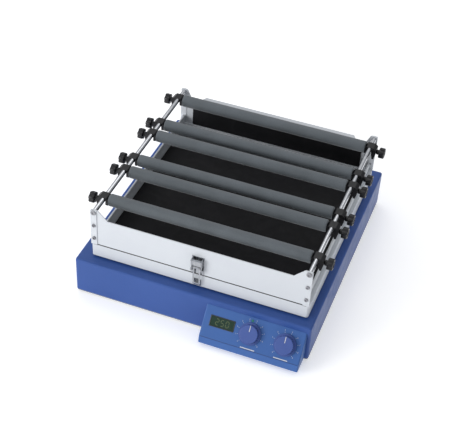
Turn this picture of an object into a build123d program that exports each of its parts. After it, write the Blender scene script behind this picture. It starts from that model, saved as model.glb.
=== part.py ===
from build123d import *
import math
import os

# Reciprocal shaker with a tray of sliding foam rollers. Millimetres, +Z up, +X along the stroke, front at -Y.
# The origin is on the bench, below the middle of the whole machine.

# Base housing
base_width = 505.0
base_depth = 540.0
base_height = 85.5
foot_height = 4.0
foot_radius = 15.0
foot_inset = 28.0
housing_wall = 3.0
housing_corner = 5.0
housing_edge = 4.0
bottom_plate_thickness = 3.0
bottom_plate_inset = 1.0
housing_boss_radius = 6.0
housing_boss_height = 24.0
housing_boss_sink = 1.0
housing_boss_end = 60.0
housing_boss_roof = 4.0
vent_length = 40.0
vent_width = 5.0
vent_pitch = 20.0
vents_per_row = 8
vent_row_inset = 70.0

# Control panel: a sloped face over an upright lip, in front of the right half of the housing
panel_width = 208.0
panel_side_inset = 7.5
panel_left = base_width / 2 - panel_side_inset - panel_width
panel_wall = 3.0
panel_reach = 45.0
panel_lip_reach = 42.0
panel_slope_top = 76.0
panel_lip_top = 24.0
panel_lip_bottom = 9.5
panel_foot_cut = 2.0
panel_bottom = 8.0
panel_rounding = 2.5
panel_opening_margin = 9.0
panel_opening_edge = 6.0

# Places on the panel's slope: X, and the distance down the slope
display_place = (panel_left + 40.2, 29.5)
display_width = 49.5
display_height = 20.0
display_flange = 3.0
display_flange_thickness = 1.5
display_module_margin = 4.0
speed_knob_place = (panel_left + 99.0, 33.5)
timer_knob_place = (panel_left + 172.0, 34.0)
led_place = (panel_left + 98.0, 7.0)
led_radius = 2.4
led_stand = 1.2
led_rounding = 0.8
board_side_gap = 11.0
board_width = panel_width - 2 * board_side_gap
board_low = 61.0
board_high = 4.0
board_thickness = 1.6
board_depth = 13.0
board_boss_radius = 3.0
board_boss_inset = 5.0
chip_place = (panel_left + 122.0, 15.0)
chip_size = 8.0
chip_height = 2.5
chip_pitch = 12.0
chip_count = 3
dial_radius = 22.5
dial_skirt = 3.0
dial_height = 12.0
dial_grip_radius = 18.5
dial_flutes = 24
dial_lift = 0.5
dial_rounding = 1.5
dial_flute_radius = 1.2
dial_flute_stand = 0.4
dial_index_width = 1.6
dial_index_depth = 0.6
spindle_radius = 3.0
spindle_end_gap = 1.5
potentiometer_radius = 8.0

# Mains inlet and switch at the back
inlet_place = 150.0
inlet_height = 44.0
inlet_flange_width = 64.0
inlet_flange_height = 32.0
inlet_flange_thickness = 2.5
inlet_body_width = 58.0
inlet_body_height = 26.0
inlet_body_depth = 30.0
inlet_wall = 3.0
socket_offset = 12.0
socket_width = 24.0
socket_height = 16.0
socket_depth = 18.0
socket_pin_length = 12.5
socket_pin_spacing = 7.0
socket_pin_drop = 2.0
rocker_offset = -19.0
rocker_width = 13.0
rocker_height = 19.0
rocker_back = 5.0
rocker_face = 5.9
rocker_dip = 4.9
rocker_tilt = 7.0
rocker_gap = 0.9
rocker_pin_radius = 1.5
rocker_pin_reach = 1.5
rear_stand = 4.0
power_supply_inset = 52.5
power_supply_width = 120.0
power_supply_depth = 78.0
power_supply_height = 42.0
power_supply_back_gap = 32.0
power_supply_slots = 9
power_supply_slot_pitch = 11.0
power_supply_slot_width = 6.0
power_supply_slot_depth = 4.0
power_supply_slot_inset = 10.0

# Drive
stroke = 30.0
crank_offset = stroke / 2
guide_shaft_radius = 8.0
guide_shaft_inset = 42.5
guide_shaft_length = base_width - 2 * guide_shaft_inset
guide_shaft_height = 40.0
guide_shaft_spread = 260.0
shaft_support_width = 20.0
shaft_support_depth = 40.0
shaft_support_inset = 10.0
shaft_support_spread = guide_shaft_length - 2 * shaft_support_inset
shaft_support_cover = 8.0
shaft_support_rounding = 6.0
bearing_block_length = 40.0
bearing_block_depth = 44.0
bearing_block_drop = 16.0
carriage_low = 58.0
carriage_thickness = 8.0
carriage_inset = 122.5
carriage_width = base_width - 2 * carriage_inset
carriage_depth = 320.0
carriage_corner = 8.0
bearing_inset = 30.0
bearing_spread = carriage_width - 2 * bearing_inset
post_radius = 10.0
post_inset = 40.0
post_spread_x = carriage_width - 2 * post_inset
post_spread_y = 220.0
post_slot_gap = 3.0
yoke_bar_width = 10.0
yoke_bar_length = 90.0
yoke_gap = 0.5
yoke_lift = 0.5
crank_shaft_radius = 10.0
crank_shaft_lift = 2.0
crank_bearing_radius = 21.0
crank_bearing_height = 9.0
crank_housing_radius = 28.0
crank_housing_top = 28.0
crank_disc_radius = 32.0
crank_disc_thickness = 6.0
crank_roller_radius = 14.0
crank_roller_height = 3.5
crank_pin_radius = 6.0
crank_pulley_radius = 55.0
crank_pulley_holes = 6
crank_pulley_hole_radius = 7.0
motor_pulley_radius = 14.0
pulley_low = 29.0
pulley_height = 12.0
pulley_flange = 3.0
pulley_flange_thickness = 1.5
belt_thickness = 2.0
belt_gap = 0.3
motor_inset = 62.5
motor_distance = base_width / 2 - motor_inset
motor_radius = 38.0
motor_height = 36.0
motor_shaft_radius = 4.0
motor_shaft_reach = 10.0
motor_hole_radius = 8.0
motor_lift = 3.0
motor_plate_thickness = 4.0
motor_plate_margin = 4.0
bracket_leg_radius = 5.0
bracket_leg_spread = 70.0
bracket_base_thickness = 3.0

# Platform and its roller tray. The rods' places drive its width.
rest_offset = 6.0
rod_radius = 5.0
rod_half_spread = 223.4
rod_height = 82.2
tray_side = 7.1
tray_half_width = rod_half_spread + tray_side
tray_setback = 22.9
tray_depth = 471.1
tray_lift = 4.0
tray_rim_height = 31.0
tray_corner = 5.0
tray_ledge = 9.0
tray_floor_drop = 16.5
tray_floor_thickness = 3.0
sheet = 2.0
mat_thickness = 3.0
mat_gap = 1.0
mat_corner = 4.0
end_plate_height = 66.7
ear_height = 21.8
front_ear_foot = tray_half_width - 37.1
front_ear_top = tray_half_width - 15.0
back_ear_foot = tray_half_width - 25.5
back_ear_top = tray_half_width - 15.5
ear_rounding = 3.0
end_strip_width = 13.5
end_strip_thickness = 1.5
back_flange_reach = 16.0
back_flange_half = tray_half_width - 44.5
back_flange_chamfer = 11.0
liner_thickness = 3.0
liner_half_width = tray_half_width - 30.5
liner_drop = 3.0
side_wall_height = 19.5
side_wall_sheet = 1.5
side_wall_inset = 7.5
side_hem_width = 3.5
side_hem_height = 6.0
corner_tab_width = 14.0
corner_tab_height = 60.0
plate_screw_heights = (16.7, 49.2)
plate_screw_tip = 2.0

# Rollers, with the distance of each from the tray's front face
roller_offsets = (52.0, 151.5, 194.5, 290.5, 334.0, 438.0)
roller_height = 79.0
foam_radius = 13.0
core_radius = 8.0
core_wall = 1.5
core_plug = 6.0
core_stub_radius = 2.5
core_stub_length = 4.0
clamp_depth = 20.0
clamp_inward = 10.4
clamp_outward = 14.6
clamp_inner = rod_half_spread - clamp_inward
clamp_outer = rod_half_spread + clamp_outward
foam_end_gap = 0.5
foam_half_length = clamp_inner - foam_end_gap
clamp_crown = 5.3
clamp_crown_bevel = 4.0
clamp_shoulder_in = 6.0
clamp_shoulder_down = 5.0
clamp_skirt_in = 3.0
clamp_skirt_up = 2.0
clamp_rounding = 2.0
clamp_leg_drop = 22.7
clamp_leg_width = 4.0
clamp_inner_leg_drop = 11.7
clamp_screw_radius = 2.0
clamp_screw_drop = 8.2
clamp_screw_inset = 1.0
knob_radius = 12.0
knob_thickness = 12.0
knob_lobes = 6
knob_scallop = 3.2
knob_scallop_stand = 1.0
knob_rounding = 2.0
knob_neck_radius = 5.5
knob_neck_length = 5.7

# Latches
latch_width = 26.0
latch_plate_thickness = 1.5
latch_plate_rise = 3.0
latch_plate_height = 42.5
latch_ear_half = 3.0
latch_pivot_stand = 6.0
latch_pivot_rise = 15.5
latch_pin_radius = 1.5
latch_arm = 6.0
lever_length = 28.0
lever_thickness = 1.5
lever_front = 3.0
lever_back = 2.5
lever_boss_radius = 3.2
lever_handle_rise = 7.5
lever_lip = 3.0
loop_width = 16.0
loop_thickness = 1.5
loop_bar = 3.0
loop_eye_radius = 2.7
loop_reach = 42.0
catch_plate_width = 15.0
catch_height = 16.0
catch_reach = 8.0
catch_width = 9.0

# Fits and screws
running_gap = 0.05
static_gap = 0.02
soft_gap = 0.3
screw_radius = 2.0
screw_head_radius = 4.0
screw_head_height = 2.4
rod_screw_radius = 3.0
rod_screw_head_radius = 5.5
post_screw_radius = 3.0
post_screw_head_radius = 6.0
screw_length = 12.0
socket_share = 0.55

# Places that follow from the sizes above
base_front = -(panel_reach + base_depth + rear_stand) / 2 + panel_reach
base_back = base_front + base_depth
base_middle = (base_front + base_back) / 2
base_half = base_width / 2
base_top = foot_height + base_height
inside_floor = foot_height + bottom_plate_thickness
panel_right = panel_left + panel_width
tray_front = base_front + tray_setback
tray_back = tray_front + tray_depth
tray_middle = (tray_front + tray_back) / 2
rim_low = base_top + tray_lift
rim_top = rim_low + tray_rim_height
floor_top = rim_top - tray_floor_drop
floor_low = floor_top - tray_floor_thickness
plate_top = rim_top + end_plate_height
ear_top = plate_top + ear_height
rod_z = rim_top + rod_height
roller_z = rim_top + roller_height
clamp_screw_z = rod_z - clamp_screw_drop
motor_x = -motor_distance
carriage_top = carriage_low + carriage_thickness
crank_disc_low = pulley_low + pulley_height + 1.0
knob_reach = clamp_outer + soft_gap + knob_neck_length + knob_thickness
platform_x = (rest_offset + base_half - knob_reach) / 2
base_x = platform_x - rest_offset


def slab(x_span, y_span, z_span):
    """A box between two limits on each axis."""
    spans = (x_span, y_span, z_span)
    middle = [(low + high) / 2 for low, high in spans]
    return Pos(*middle) * Box(*[abs(high - low) for low, high in spans])


def bar(axis, radius, span, at):
    """A round bar along one axis, between the two ends of span, at the other two coordinates."""
    middle = sum(span) / 2
    place = {"X": Pos(middle, *at), "Y": Pos(at[0], middle, at[1]), "Z": Pos(*at, middle)}[axis]
    turn = {"X": Rot(0, 90, 0), "Y": Rot(90, 0, 0), "Z": Rot(0, 0, 0)}[axis]
    return place * turn * Cylinder(radius, abs(span[1] - span[0]))


def side_prism(outline, x_span):
    """A solid with an outline of (Y, Z) points, between two X limits."""
    face = Plane.YZ * Polygon(*outline, align=None)
    return Pos(x_span[0], 0, 0) * extrude(face, amount=x_span[1] - x_span[0], dir=(1, 0, 0))


def front_prism(outline, y_span):
    """A solid with an outline of (X, Z) points, between two Y limits."""
    face = Plane.XZ * Polygon(*outline, align=None)
    return Pos(0, y_span[0], 0) * extrude(face, amount=y_span[1] - y_span[0], dir=(0, 1, 0))


def rounded_block(half_width, front, back, low, high, corner):
    """An upright block with rounded upright corners."""
    plan = Pos(0, (front + back) / 2) * RectangleRounded(2 * half_width, back - front, corner)
    return Pos(0, 0, low) * extrude(plan, amount=high - low)


def mirrored_x(shape):
    """The shape and its mirror image across the middle plane."""
    return [shape, mirror(shape, about=Plane.YZ)]


def pan_screw(radius, head_radius, head_height, length):
    """A socket head screw along Z, seated at Z 0 with its head above."""
    head = Pos(0, 0, head_height / 2) * Cylinder(head_radius, head_height)
    head = fillet(head.edges().group_by(Axis.Z)[-1], head_height * 0.4)
    socket = extrude(RegularPolygon(head_radius * socket_share, 6), amount=-head_height / 2)
    head -= Pos(0, 0, head_height) * socket
    return head + Pos(0, 0, -length / 2) * Cylinder(radius, length)


def placed(shape, origin, normal):
    """The shape with its own Z turned to the normal and its zero at the origin."""
    return Plane(origin=origin, z_dir=normal).location * shape


def group(shapes):
    """Separate solids kept in one node."""
    return Compound(children=[solid for shape in shapes for solid in shape.solids()])


def moved_along(shape, x):
    """A finished node, moved along the stroke."""
    solids = [Pos(x, 0, 0) * solid for solid in shape.solids()]
    return solids[0] if len(solids) == 1 else Compound(children=solids)


# Base. All its nodes are drawn about its own middle plane, and so are the platform's.

def foot_places():
    """Where the four feet stand."""
    x = base_half - foot_inset
    return [(side * x, y) for side in (-1, 1) for y in (base_front + foot_inset, base_back - foot_inset)]


def boss_places():
    """Where the bottom plate is screwed to the housing."""
    x = base_half - housing_wall - housing_boss_radius + housing_boss_sink
    reach = base_depth / 2 - housing_boss_end
    return [(side * x, base_middle + step * reach) for side in (-1, 1) for step in (-1, 0, 1)]


def post_places():
    """Where the four posts rise from the carriage to the platform."""
    return [
        (sx * post_spread_x / 2, tray_middle + sy * post_spread_y / 2) for sx in (-1, 1) for sy in (-1, 1)
    ]


def inlet_box(width, height, depth_span, x=0.0):
    """A box on the back wall, with depth counted outwards from it."""
    return slab(
        (inlet_place + x - width / 2, inlet_place + x + width / 2),
        (base_back + depth_span[0], base_back + depth_span[1]),
        (inlet_height - height / 2, inlet_height + height / 2),
    )


def make_base_housing():
    """The one-piece cover: four walls and a top with a slot for each post."""
    case = rounded_block(base_half, base_front, base_back, inside_floor, base_top, housing_corner)
    case = fillet(case.edges().group_by(Axis.Z)[-1], housing_edge)
    hollow = rounded_block(
        base_half - housing_wall,
        base_front + housing_wall,
        base_back - housing_wall,
        inside_floor,
        base_top - housing_wall,
        housing_corner - housing_wall,
    )
    hollow = fillet(hollow.edges().group_by(Axis.Z)[-1], housing_edge - housing_wall)
    case -= hollow
    slot_width = 2 * (post_radius + post_slot_gap)
    for x, y in post_places():
        slot = extrude(SlotOverall(slot_width + stroke, slot_width), amount=4 * housing_wall)
        case -= Pos(x, y, base_top - 2 * housing_wall) * slot
    margin = panel_opening_margin
    case -= slab(
        (panel_left + margin, panel_right - margin),
        (base_front - 1, base_front + 2 * housing_wall),
        (panel_bottom + panel_opening_edge, panel_slope_top - panel_opening_edge),
    )
    inlet_fit = 2 * static_gap
    case -= inlet_box(inlet_body_width + inlet_fit, inlet_body_height + inlet_fit, (-2 * housing_wall, 1))
    for x, y in boss_places():
        boss = bar("Z", housing_boss_radius, (inside_floor, inside_floor + housing_boss_height), (x, y))
        case += boss
        thread_top = inside_floor + housing_boss_height - housing_boss_roof
        case -= bar("Z", screw_radius + static_gap, (inside_floor, thread_top), (x, y))
    return case


def make_bottom_plate():
    """The flat plate that closes the housing and carries the drive."""
    inset = bottom_plate_inset
    plate = rounded_block(
        base_half - inset,
        base_front + inset,
        base_back - inset,
        foot_height,
        inside_floor,
        housing_corner - inset,
    )
    for x, y in boss_places():
        plate -= bar("Z", screw_radius + running_gap, (foot_height - 1, inside_floor + 1), (x, y))
    slot = Rot(0, 0, 90) * extrude(SlotOverall(vent_length, vent_width), amount=3 * bottom_plate_thickness)
    for column in range(vents_per_row):
        x = (column - (vents_per_row - 1) / 2) * vent_pitch
        for row_y in (base_front + vent_row_inset, base_back - vent_row_inset):
            plate -= Pos(x, row_y, foot_height - bottom_plate_thickness) * slot
    return plate


def make_rubber_feet():
    """Four round feet under the bottom plate."""
    foot = Pos(0, 0, foot_height / 2) * Cylinder(foot_radius, foot_height)
    foot = chamfer(foot.edges().group_by(Axis.Z)[0], foot_height / 4)
    return group([Pos(x, y, 0) * foot for x, y in foot_places()])


def make_housing_screws():
    """The screws that hold the bottom plate to the housing, heads down."""
    screw = pan_screw(screw_radius, screw_head_radius, screw_head_height, screw_length)
    return group([placed(screw, (x, y, foot_height), (0, 0, -1)) for x, y in boss_places()])


# Control panel

slope_plane = Plane(
    origin=(0, base_front, panel_slope_top),
    x_dir=(1, 0, 0),
    z_dir=(0, -(panel_slope_top - panel_lip_top), panel_lip_reach),
)


def on_slope(place, lift=0.0):
    """A place on the panel's slope: X, distance down, and height above its face."""
    return slope_plane.location * Pos(place[0], -place[1], lift)


def slope_box(place, width, height, lift_span):
    """A box square to the slope, centred on a place."""
    low, high = lift_span
    return on_slope(place, (low + high) / 2) * Box(width, height, high - low)


def slope_bar(place, radius, lift_span):
    """A round bar square to the slope."""
    low, high = lift_span
    return on_slope(place, (low + high) / 2) * Cylinder(radius, high - low)


def panel_outline(carry):
    """Side outline of the panel. Carry runs it on behind the housing's front face."""
    rise = (panel_slope_top - panel_lip_top) / panel_lip_reach
    return [
        (base_front + carry, panel_bottom),
        (base_front - panel_reach + panel_foot_cut, panel_bottom),
        (base_front - panel_reach, panel_lip_bottom),
        (base_front - panel_lip_reach, panel_lip_top),
        (base_front + carry, panel_slope_top + rise * carry),
    ]


def board_corners():
    """Where the circuit board's four bosses stand."""
    middle = (panel_left + panel_right) / 2
    half = board_width / 2 - board_boss_inset
    downs = (board_high + board_boss_inset, board_low - board_boss_inset)
    return [(middle + side * half, down) for side in (-1, 1) for down in downs]


def make_control_panel():
    """The hollow panel cover, open at its back."""
    panel = side_prism(panel_outline(0), (panel_left, panel_right))
    front_edges = [edge for edge in panel.edges() if edge.center().Y < base_front - 0.5]
    panel = fillet(front_edges, panel_rounding)
    outer = Plane.YZ * Polygon(*panel_outline(panel_wall), align=None)
    inner = offset(outer, -panel_wall, kind=Kind.INTERSECTION)
    hollow = extrude(inner, amount=panel_width - 2 * panel_wall, dir=(1, 0, 0))
    panel -= Pos(panel_left + panel_wall, 0, 0) * hollow
    for place in board_corners():
        panel += slope_bar(place, board_boss_radius, (-board_depth, -panel_wall + 0.5))
    through = (-2 * panel_wall, 1)
    panel -= slope_box(display_place, display_width, display_height, through)
    for place in (speed_knob_place, timer_knob_place):
        panel -= slope_bar(place, spindle_radius + 0.5, through)
    panel -= slope_bar(led_place, led_radius + running_gap, through)
    return panel


def make_display_window():
    """The display's window, flush with the slope, with a flange behind it."""
    window = slope_box(
        display_place, display_width - 2 * running_gap, display_height - 2 * running_gap, (-panel_wall, 0)
    )
    flange_lifts = (-panel_wall - display_flange_thickness, -panel_wall)
    grow = 2 * display_flange
    return window + slope_box(display_place, display_width + grow, display_height + grow, flange_lifts)


def make_control_board():
    """The circuit board, with its display module, two potentiometers and three chips."""
    middle = (panel_left + panel_right) / 2
    down = (board_low + board_high) / 2
    lifts = (-board_depth - board_thickness, -board_depth)
    board = slope_box((middle, down), board_width, board_low - board_high, lifts)
    window_back = -panel_wall - display_flange_thickness
    grow = 2 * display_module_margin
    display_lifts = (-board_depth, window_back - soft_gap)
    display = slope_box(display_place, display_width + grow, display_height + grow, display_lifts)
    pieces = [board, display]
    for place in (speed_knob_place, timer_knob_place):
        body = slope_bar(place, potentiometer_radius, (-board_depth, -panel_wall))
        bore = slope_bar(place, spindle_radius + running_gap, (-board_depth + 1, -panel_wall + 1))
        pieces.append(body - bore)
    chip_lifts = (-board_depth, -board_depth + chip_height)
    for step in range(chip_count):
        place = (chip_place[0] + chip_pitch * step, chip_place[1])
        pieces.append(slope_box(place, chip_size, chip_size, chip_lifts))
    return group(pieces)


def make_status_led():
    """The round status light, standing a little proud of the slope."""
    length = board_depth + led_stand
    led = Pos(0, 0, led_stand - length / 2) * Cylinder(led_radius, length)
    return on_slope(led_place) * fillet(led.edges().group_by(Axis.Z)[-1], led_rounding)


def make_dial(place):
    """A fluted dial with its spindle, which reaches into the potentiometer."""
    skirt = Pos(0, 0, dial_lift + dial_skirt / 2) * Cylinder(dial_radius, dial_skirt)
    grip_height = dial_height - dial_lift
    grip = Pos(0, 0, dial_lift + grip_height / 2) * Cylinder(dial_grip_radius, grip_height)
    grip = fillet(grip.edges().group_by(Axis.Z)[-1], dial_rounding)
    flute_place = Pos(dial_grip_radius + dial_flute_stand, 0, dial_lift + dial_skirt + grip_height / 2)
    flute = flute_place * Cylinder(dial_flute_radius, grip_height)
    for step in range(dial_flutes):
        grip -= Rot(0, 0, 360 / dial_flutes * (step + 0.5)) * flute
    index_size = (dial_index_width, dial_grip_radius * 0.7, 2 * dial_index_depth)
    index_line = Pos(0, dial_grip_radius * 0.6, dial_height) * Box(*index_size)
    spindle_low = spindle_end_gap - board_depth
    spindle_top = dial_lift + dial_skirt / 2
    spindle = bar("Z", spindle_radius, (spindle_low, spindle_top), (0, 0))
    return on_slope(place) * (skirt + grip - index_line + spindle)


# Mains inlet and switch

def make_mains_inlet():
    """The inlet and switch frame, with an open socket and three flat pins."""
    body = inlet_box(inlet_body_width, inlet_body_height, (-inlet_body_depth, inlet_flange_thickness))
    flange = inlet_box(inlet_flange_width, inlet_flange_height, (0, inlet_flange_thickness))
    frame = fillet(flange.edges().filter_by(Axis.Y), 2.5) + body
    mouth = inlet_flange_thickness + 1
    socket_floor = inlet_flange_thickness - socket_depth
    frame -= inlet_box(socket_width, socket_height, (socket_floor, mouth), socket_offset)
    frame -= inlet_box(
        rocker_width + 2 * soft_gap,
        rocker_height + 2 * rocker_gap,
        (-inlet_body_depth + inlet_wall, mouth),
        rocker_offset,
    )
    for step in (-1, 0, 1):
        pin = inlet_box(
            2.0,
            4.0,
            (-socket_depth, socket_floor + socket_pin_length),
            socket_offset + step * socket_pin_spacing,
        )
        frame += Pos(0, 0, socket_pin_drop if step == 0 else -socket_pin_drop) * pin
    pin_x = inlet_place + rocker_offset
    pin_half = rocker_pin_half() + running_gap
    pin_span = (pin_x - pin_half, pin_x + pin_half)
    return frame - bar("X", rocker_pin_radius + running_gap, pin_span, rocker_axis())


def rocker_axis():
    """Y and Z of the switch rocker's pivot."""
    tilt = math.radians(rocker_tilt)
    top = rocker_height / 2 - 0.5
    reach = rocker_face * math.cos(tilt) + top * math.sin(tilt)
    return base_back + rear_stand - reach, inlet_height


def rocker_pin_half():
    """Half the length of the rocker's pin, which reaches into both sides of the frame."""
    return rocker_width / 2 + soft_gap + rocker_pin_reach


def make_power_rocker():
    """The switch rocker with its pin, tilted to its off side."""
    half = rocker_height / 2
    outline = [
        (-rocker_back, -half + 3),
        (0, -half),
        (rocker_face, -half + 0.5),
        (rocker_dip, 0),
        (rocker_face, half - 0.5),
        (0, half),
        (-rocker_back, half - 3),
    ]
    rocker = side_prism(outline, (-rocker_width / 2, rocker_width / 2))
    rocker += bar("X", rocker_pin_radius, (-rocker_pin_half(), rocker_pin_half()), (0, 0))
    y, z = rocker_axis()
    return Pos(inlet_place + rocker_offset, y, z) * Rot(-rocker_tilt, 0, 0) * rocker


def make_power_supply():
    """The closed power supply block, beside the inlet."""
    left = -base_half + power_supply_inset
    back = base_back - power_supply_back_gap
    front = back - power_supply_depth
    top = inside_floor + power_supply_height
    block = slab((left, left + power_supply_width), (front, back), (inside_floor, top))
    block = fillet(block.edges().filter_by(Axis.Z), housing_wall)
    slots_width = (power_supply_slots - 1) * power_supply_slot_pitch + power_supply_slot_width
    first = left + (power_supply_width - slots_width) / 2
    slot_y = (front + power_supply_slot_inset, back - power_supply_slot_inset)
    for step in range(power_supply_slots):
        low = first + power_supply_slot_pitch * step
        block -= slab((low, low + power_supply_slot_width), slot_y, (top - power_supply_slot_depth, base_top))
    return block


# Drive

def make_guide_shafts():
    """Two ground shafts along the stroke."""
    span = (-guide_shaft_length / 2, guide_shaft_length / 2)
    rows = [tray_middle + side * guide_shaft_spread / 2 for side in (-1, 1)]
    return group([bar("X", guide_shaft_radius, span, (y, guide_shaft_height)) for y in rows])


def make_shaft_supports():
    """A block on the bottom plate under each end of each shaft."""
    supports = []
    for sx in (-1, 1):
        for sy in (-1, 1):
            x = sx * shaft_support_spread / 2
            y = tray_middle + sy * guide_shaft_spread / 2
            top = guide_shaft_height + guide_shaft_radius + shaft_support_cover
            x_span = (x - shaft_support_width / 2, x + shaft_support_width / 2)
            y_span = (y - shaft_support_depth / 2, y + shaft_support_depth / 2)
            block = slab(x_span, y_span, (inside_floor, top))
            block = fillet(block.edges().filter_by(Axis.X).group_by(Axis.Z)[-1], shaft_support_rounding)
            bore_span = (x_span[0] - 1, x_span[1] + 1)
            bore = bar("X", guide_shaft_radius + static_gap, bore_span, (y, guide_shaft_height))
            supports.append(block - bore)
    return group(supports)


def make_linear_bearings():
    """Four bearing blocks that slide on the shafts under the carriage."""
    blocks = []
    for sx in (-1, 1):
        for sy in (-1, 1):
            x = sx * bearing_spread / 2
            y = tray_middle + sy * guide_shaft_spread / 2
            x_span = (x - bearing_block_length / 2, x + bearing_block_length / 2)
            y_span = (y - bearing_block_depth / 2, y + bearing_block_depth / 2)
            block = slab(x_span, y_span, (guide_shaft_height - bearing_block_drop, carriage_low))
            bore_span = (x_span[0] - 1, x_span[1] + 1)
            bore = bar("X", guide_shaft_radius + running_gap, bore_span, (y, guide_shaft_height))
            blocks.append(block - bore)
    return group(blocks)


def make_carriage():
    """The moving plate with its two yoke bars below and four posts above."""
    y_span = (tray_middle - carriage_depth / 2, tray_middle + carriage_depth / 2)
    plate = slab((-carriage_width / 2, carriage_width / 2), y_span, (carriage_low, carriage_top))
    plate = fillet(plate.edges().filter_by(Axis.Z), carriage_corner)
    inner = crank_roller_radius + yoke_gap
    for side in (-1, 1):
        x_span = sorted((side * inner, side * (inner + yoke_bar_width)))
        half = yoke_bar_length / 2
        plate += slab(x_span, (tray_middle - half, tray_middle + half), (yoke_bar_low(), carriage_low))
    for x, y in post_places():
        plate += bar("Z", post_radius, (carriage_top, floor_low), (x, y))
        plate -= bar("Z", post_screw_radius + static_gap, (floor_low - screw_length - 2, floor_low), (x, y))
    return plate


def yoke_bar_low():
    """The underside of the yoke bars, just clear of the crank's roller."""
    return crank_roller_low() + crank_roller_height + yoke_lift


def crank_roller_low():
    """The underside of the crank's roller."""
    return crank_disc_low + crank_disc_thickness + yoke_lift


def make_crank_shaft():
    """The crank shaft with its disc and pin, and the roller on the pin."""
    shaft = bar("Z", crank_shaft_radius, (inside_floor + crank_shaft_lift, crank_disc_low), (0, tray_middle))
    disc_top = crank_disc_low + crank_disc_thickness
    disc = bar("Z", crank_disc_radius, (crank_disc_low, disc_top), (0, tray_middle))
    pin_place = (rest_offset, tray_middle + math.sqrt(crank_offset**2 - rest_offset**2))
    roller_span = (crank_roller_low(), crank_roller_low() + crank_roller_height)
    pin = bar("Z", crank_pin_radius, (disc_top, roller_span[1]), pin_place)
    roller = bar("Z", crank_roller_radius, roller_span, pin_place)
    roller -= bar("Z", crank_pin_radius + static_gap, roller_span, pin_place)
    return group([shaft + disc + pin, roller])


def flanged_pulley(radius, bore, place):
    """A belt pulley with a flange at each end."""
    top = pulley_low + pulley_height
    pulley = bar("Z", radius, (pulley_low, top), place)
    for low in (pulley_low, top - pulley_flange_thickness):
        pulley += bar("Z", radius + pulley_flange, (low, low + pulley_flange_thickness), place)
    return pulley - bar("Z", bore, (pulley_low - 1, top + 1), place)


def make_crank_pulley():
    """The large pulley, with a ring of round lightening holes."""
    pulley = flanged_pulley(crank_pulley_radius, crank_shaft_radius + static_gap, (0, tray_middle))
    ring = (crank_pulley_radius + crank_disc_radius) / 2
    for step in range(crank_pulley_holes):
        turn = 2 * math.pi / crank_pulley_holes * step
        place = (ring * math.cos(turn), tray_middle + ring * math.sin(turn))
        pulley -= bar("Z", crank_pulley_hole_radius, (pulley_low - 1, pulley_low + pulley_height + 1), place)
    return pulley


def make_motor_pulley():
    """The small pulley on the motor's own shaft."""
    place = (motor_x, tray_middle)
    pulley = flanged_pulley(motor_pulley_radius, motor_shaft_radius + static_gap, place)
    shaft_top = motor_low() + motor_shaft_reach
    return group([pulley, bar("Z", motor_shaft_radius, (pulley_low - 2, shaft_top), place)])


def motor_low():
    """The height of the motor's mounting face."""
    return pulley_low + pulley_height + motor_lift + motor_plate_thickness


def make_motor():
    """The round motor, standing on its plate with its shaft hole below."""
    low = motor_low()
    place = (motor_x, tray_middle)
    motor = bar("Z", motor_radius, (low, low + motor_height), place)
    motor = fillet(motor.edges().group_by(Axis.Z)[-1], 3)
    return motor - bar("Z", motor_shaft_radius + running_gap, (low - 1, low + motor_shaft_reach + 1), place)


def make_drive_bracket():
    """One bracket for the motor plate and the crank's bearing housing."""
    half = motor_radius + motor_plate_margin
    y_span = (tray_middle - half, tray_middle + half)
    base = slab(
        (motor_x - half, crank_housing_radius), y_span, (inside_floor, inside_floor + bracket_base_thickness)
    )
    top = slab((motor_x - half, motor_x + half), y_span, (motor_low() - motor_plate_thickness, motor_low()))
    hole_span = (motor_low() - motor_plate_thickness - 1, motor_low() + 1)
    bracket = base + top - bar("Z", motor_hole_radius, hole_span, (motor_x, tray_middle))
    for sx in (-1, 1):
        for sy in (-1, 1):
            place = (motor_x + sx * bracket_leg_spread / 2, tray_middle + sy * bracket_leg_spread / 2)
            leg_span = (inside_floor, motor_low() - motor_plate_thickness)
            bracket += bar("Z", bracket_leg_radius, leg_span, place)
    bracket += bar("Z", crank_housing_radius, (inside_floor, crank_housing_top), (0, tray_middle))
    bearing_span = (crank_housing_top - 2 * crank_bearing_height, crank_housing_top)
    bracket -= bar("Z", crank_bearing_radius + static_gap, bearing_span, (0, tray_middle))
    well_span = (inside_floor + crank_shaft_lift / 2, crank_housing_top)
    return bracket - bar("Z", crank_shaft_radius + 1, well_span, (0, tray_middle))


def make_crank_bearings():
    """Two ball bearing rings, one on the other, round the crank shaft."""
    rings = []
    for step in (1, 2):
        low = crank_housing_top - step * crank_bearing_height
        span = (low, low + crank_bearing_height)
        ring = bar("Z", crank_bearing_radius, span, (0, tray_middle))
        rings.append(ring - bar("Z", crank_shaft_radius + running_gap, span, (0, tray_middle)))
    return group(rings)


def belt_face(grow):
    """The outline round both pulleys, a given distance off their rims."""
    large = Circle(crank_pulley_radius + grow)
    small = Pos(motor_x, 0) * Circle(motor_pulley_radius + grow)
    return make_hull(large.edges() + small.edges())


def make_drive_belt():
    """The belt, as a closed band round both pulleys."""
    band = belt_face(belt_gap + belt_thickness) - belt_face(belt_gap)
    low = pulley_low + pulley_flange_thickness + soft_gap
    height = pulley_height - 2 * (pulley_flange_thickness + soft_gap)
    return Pos(0, tray_middle, low) * extrude(band, amount=height)


# Platform

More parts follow.
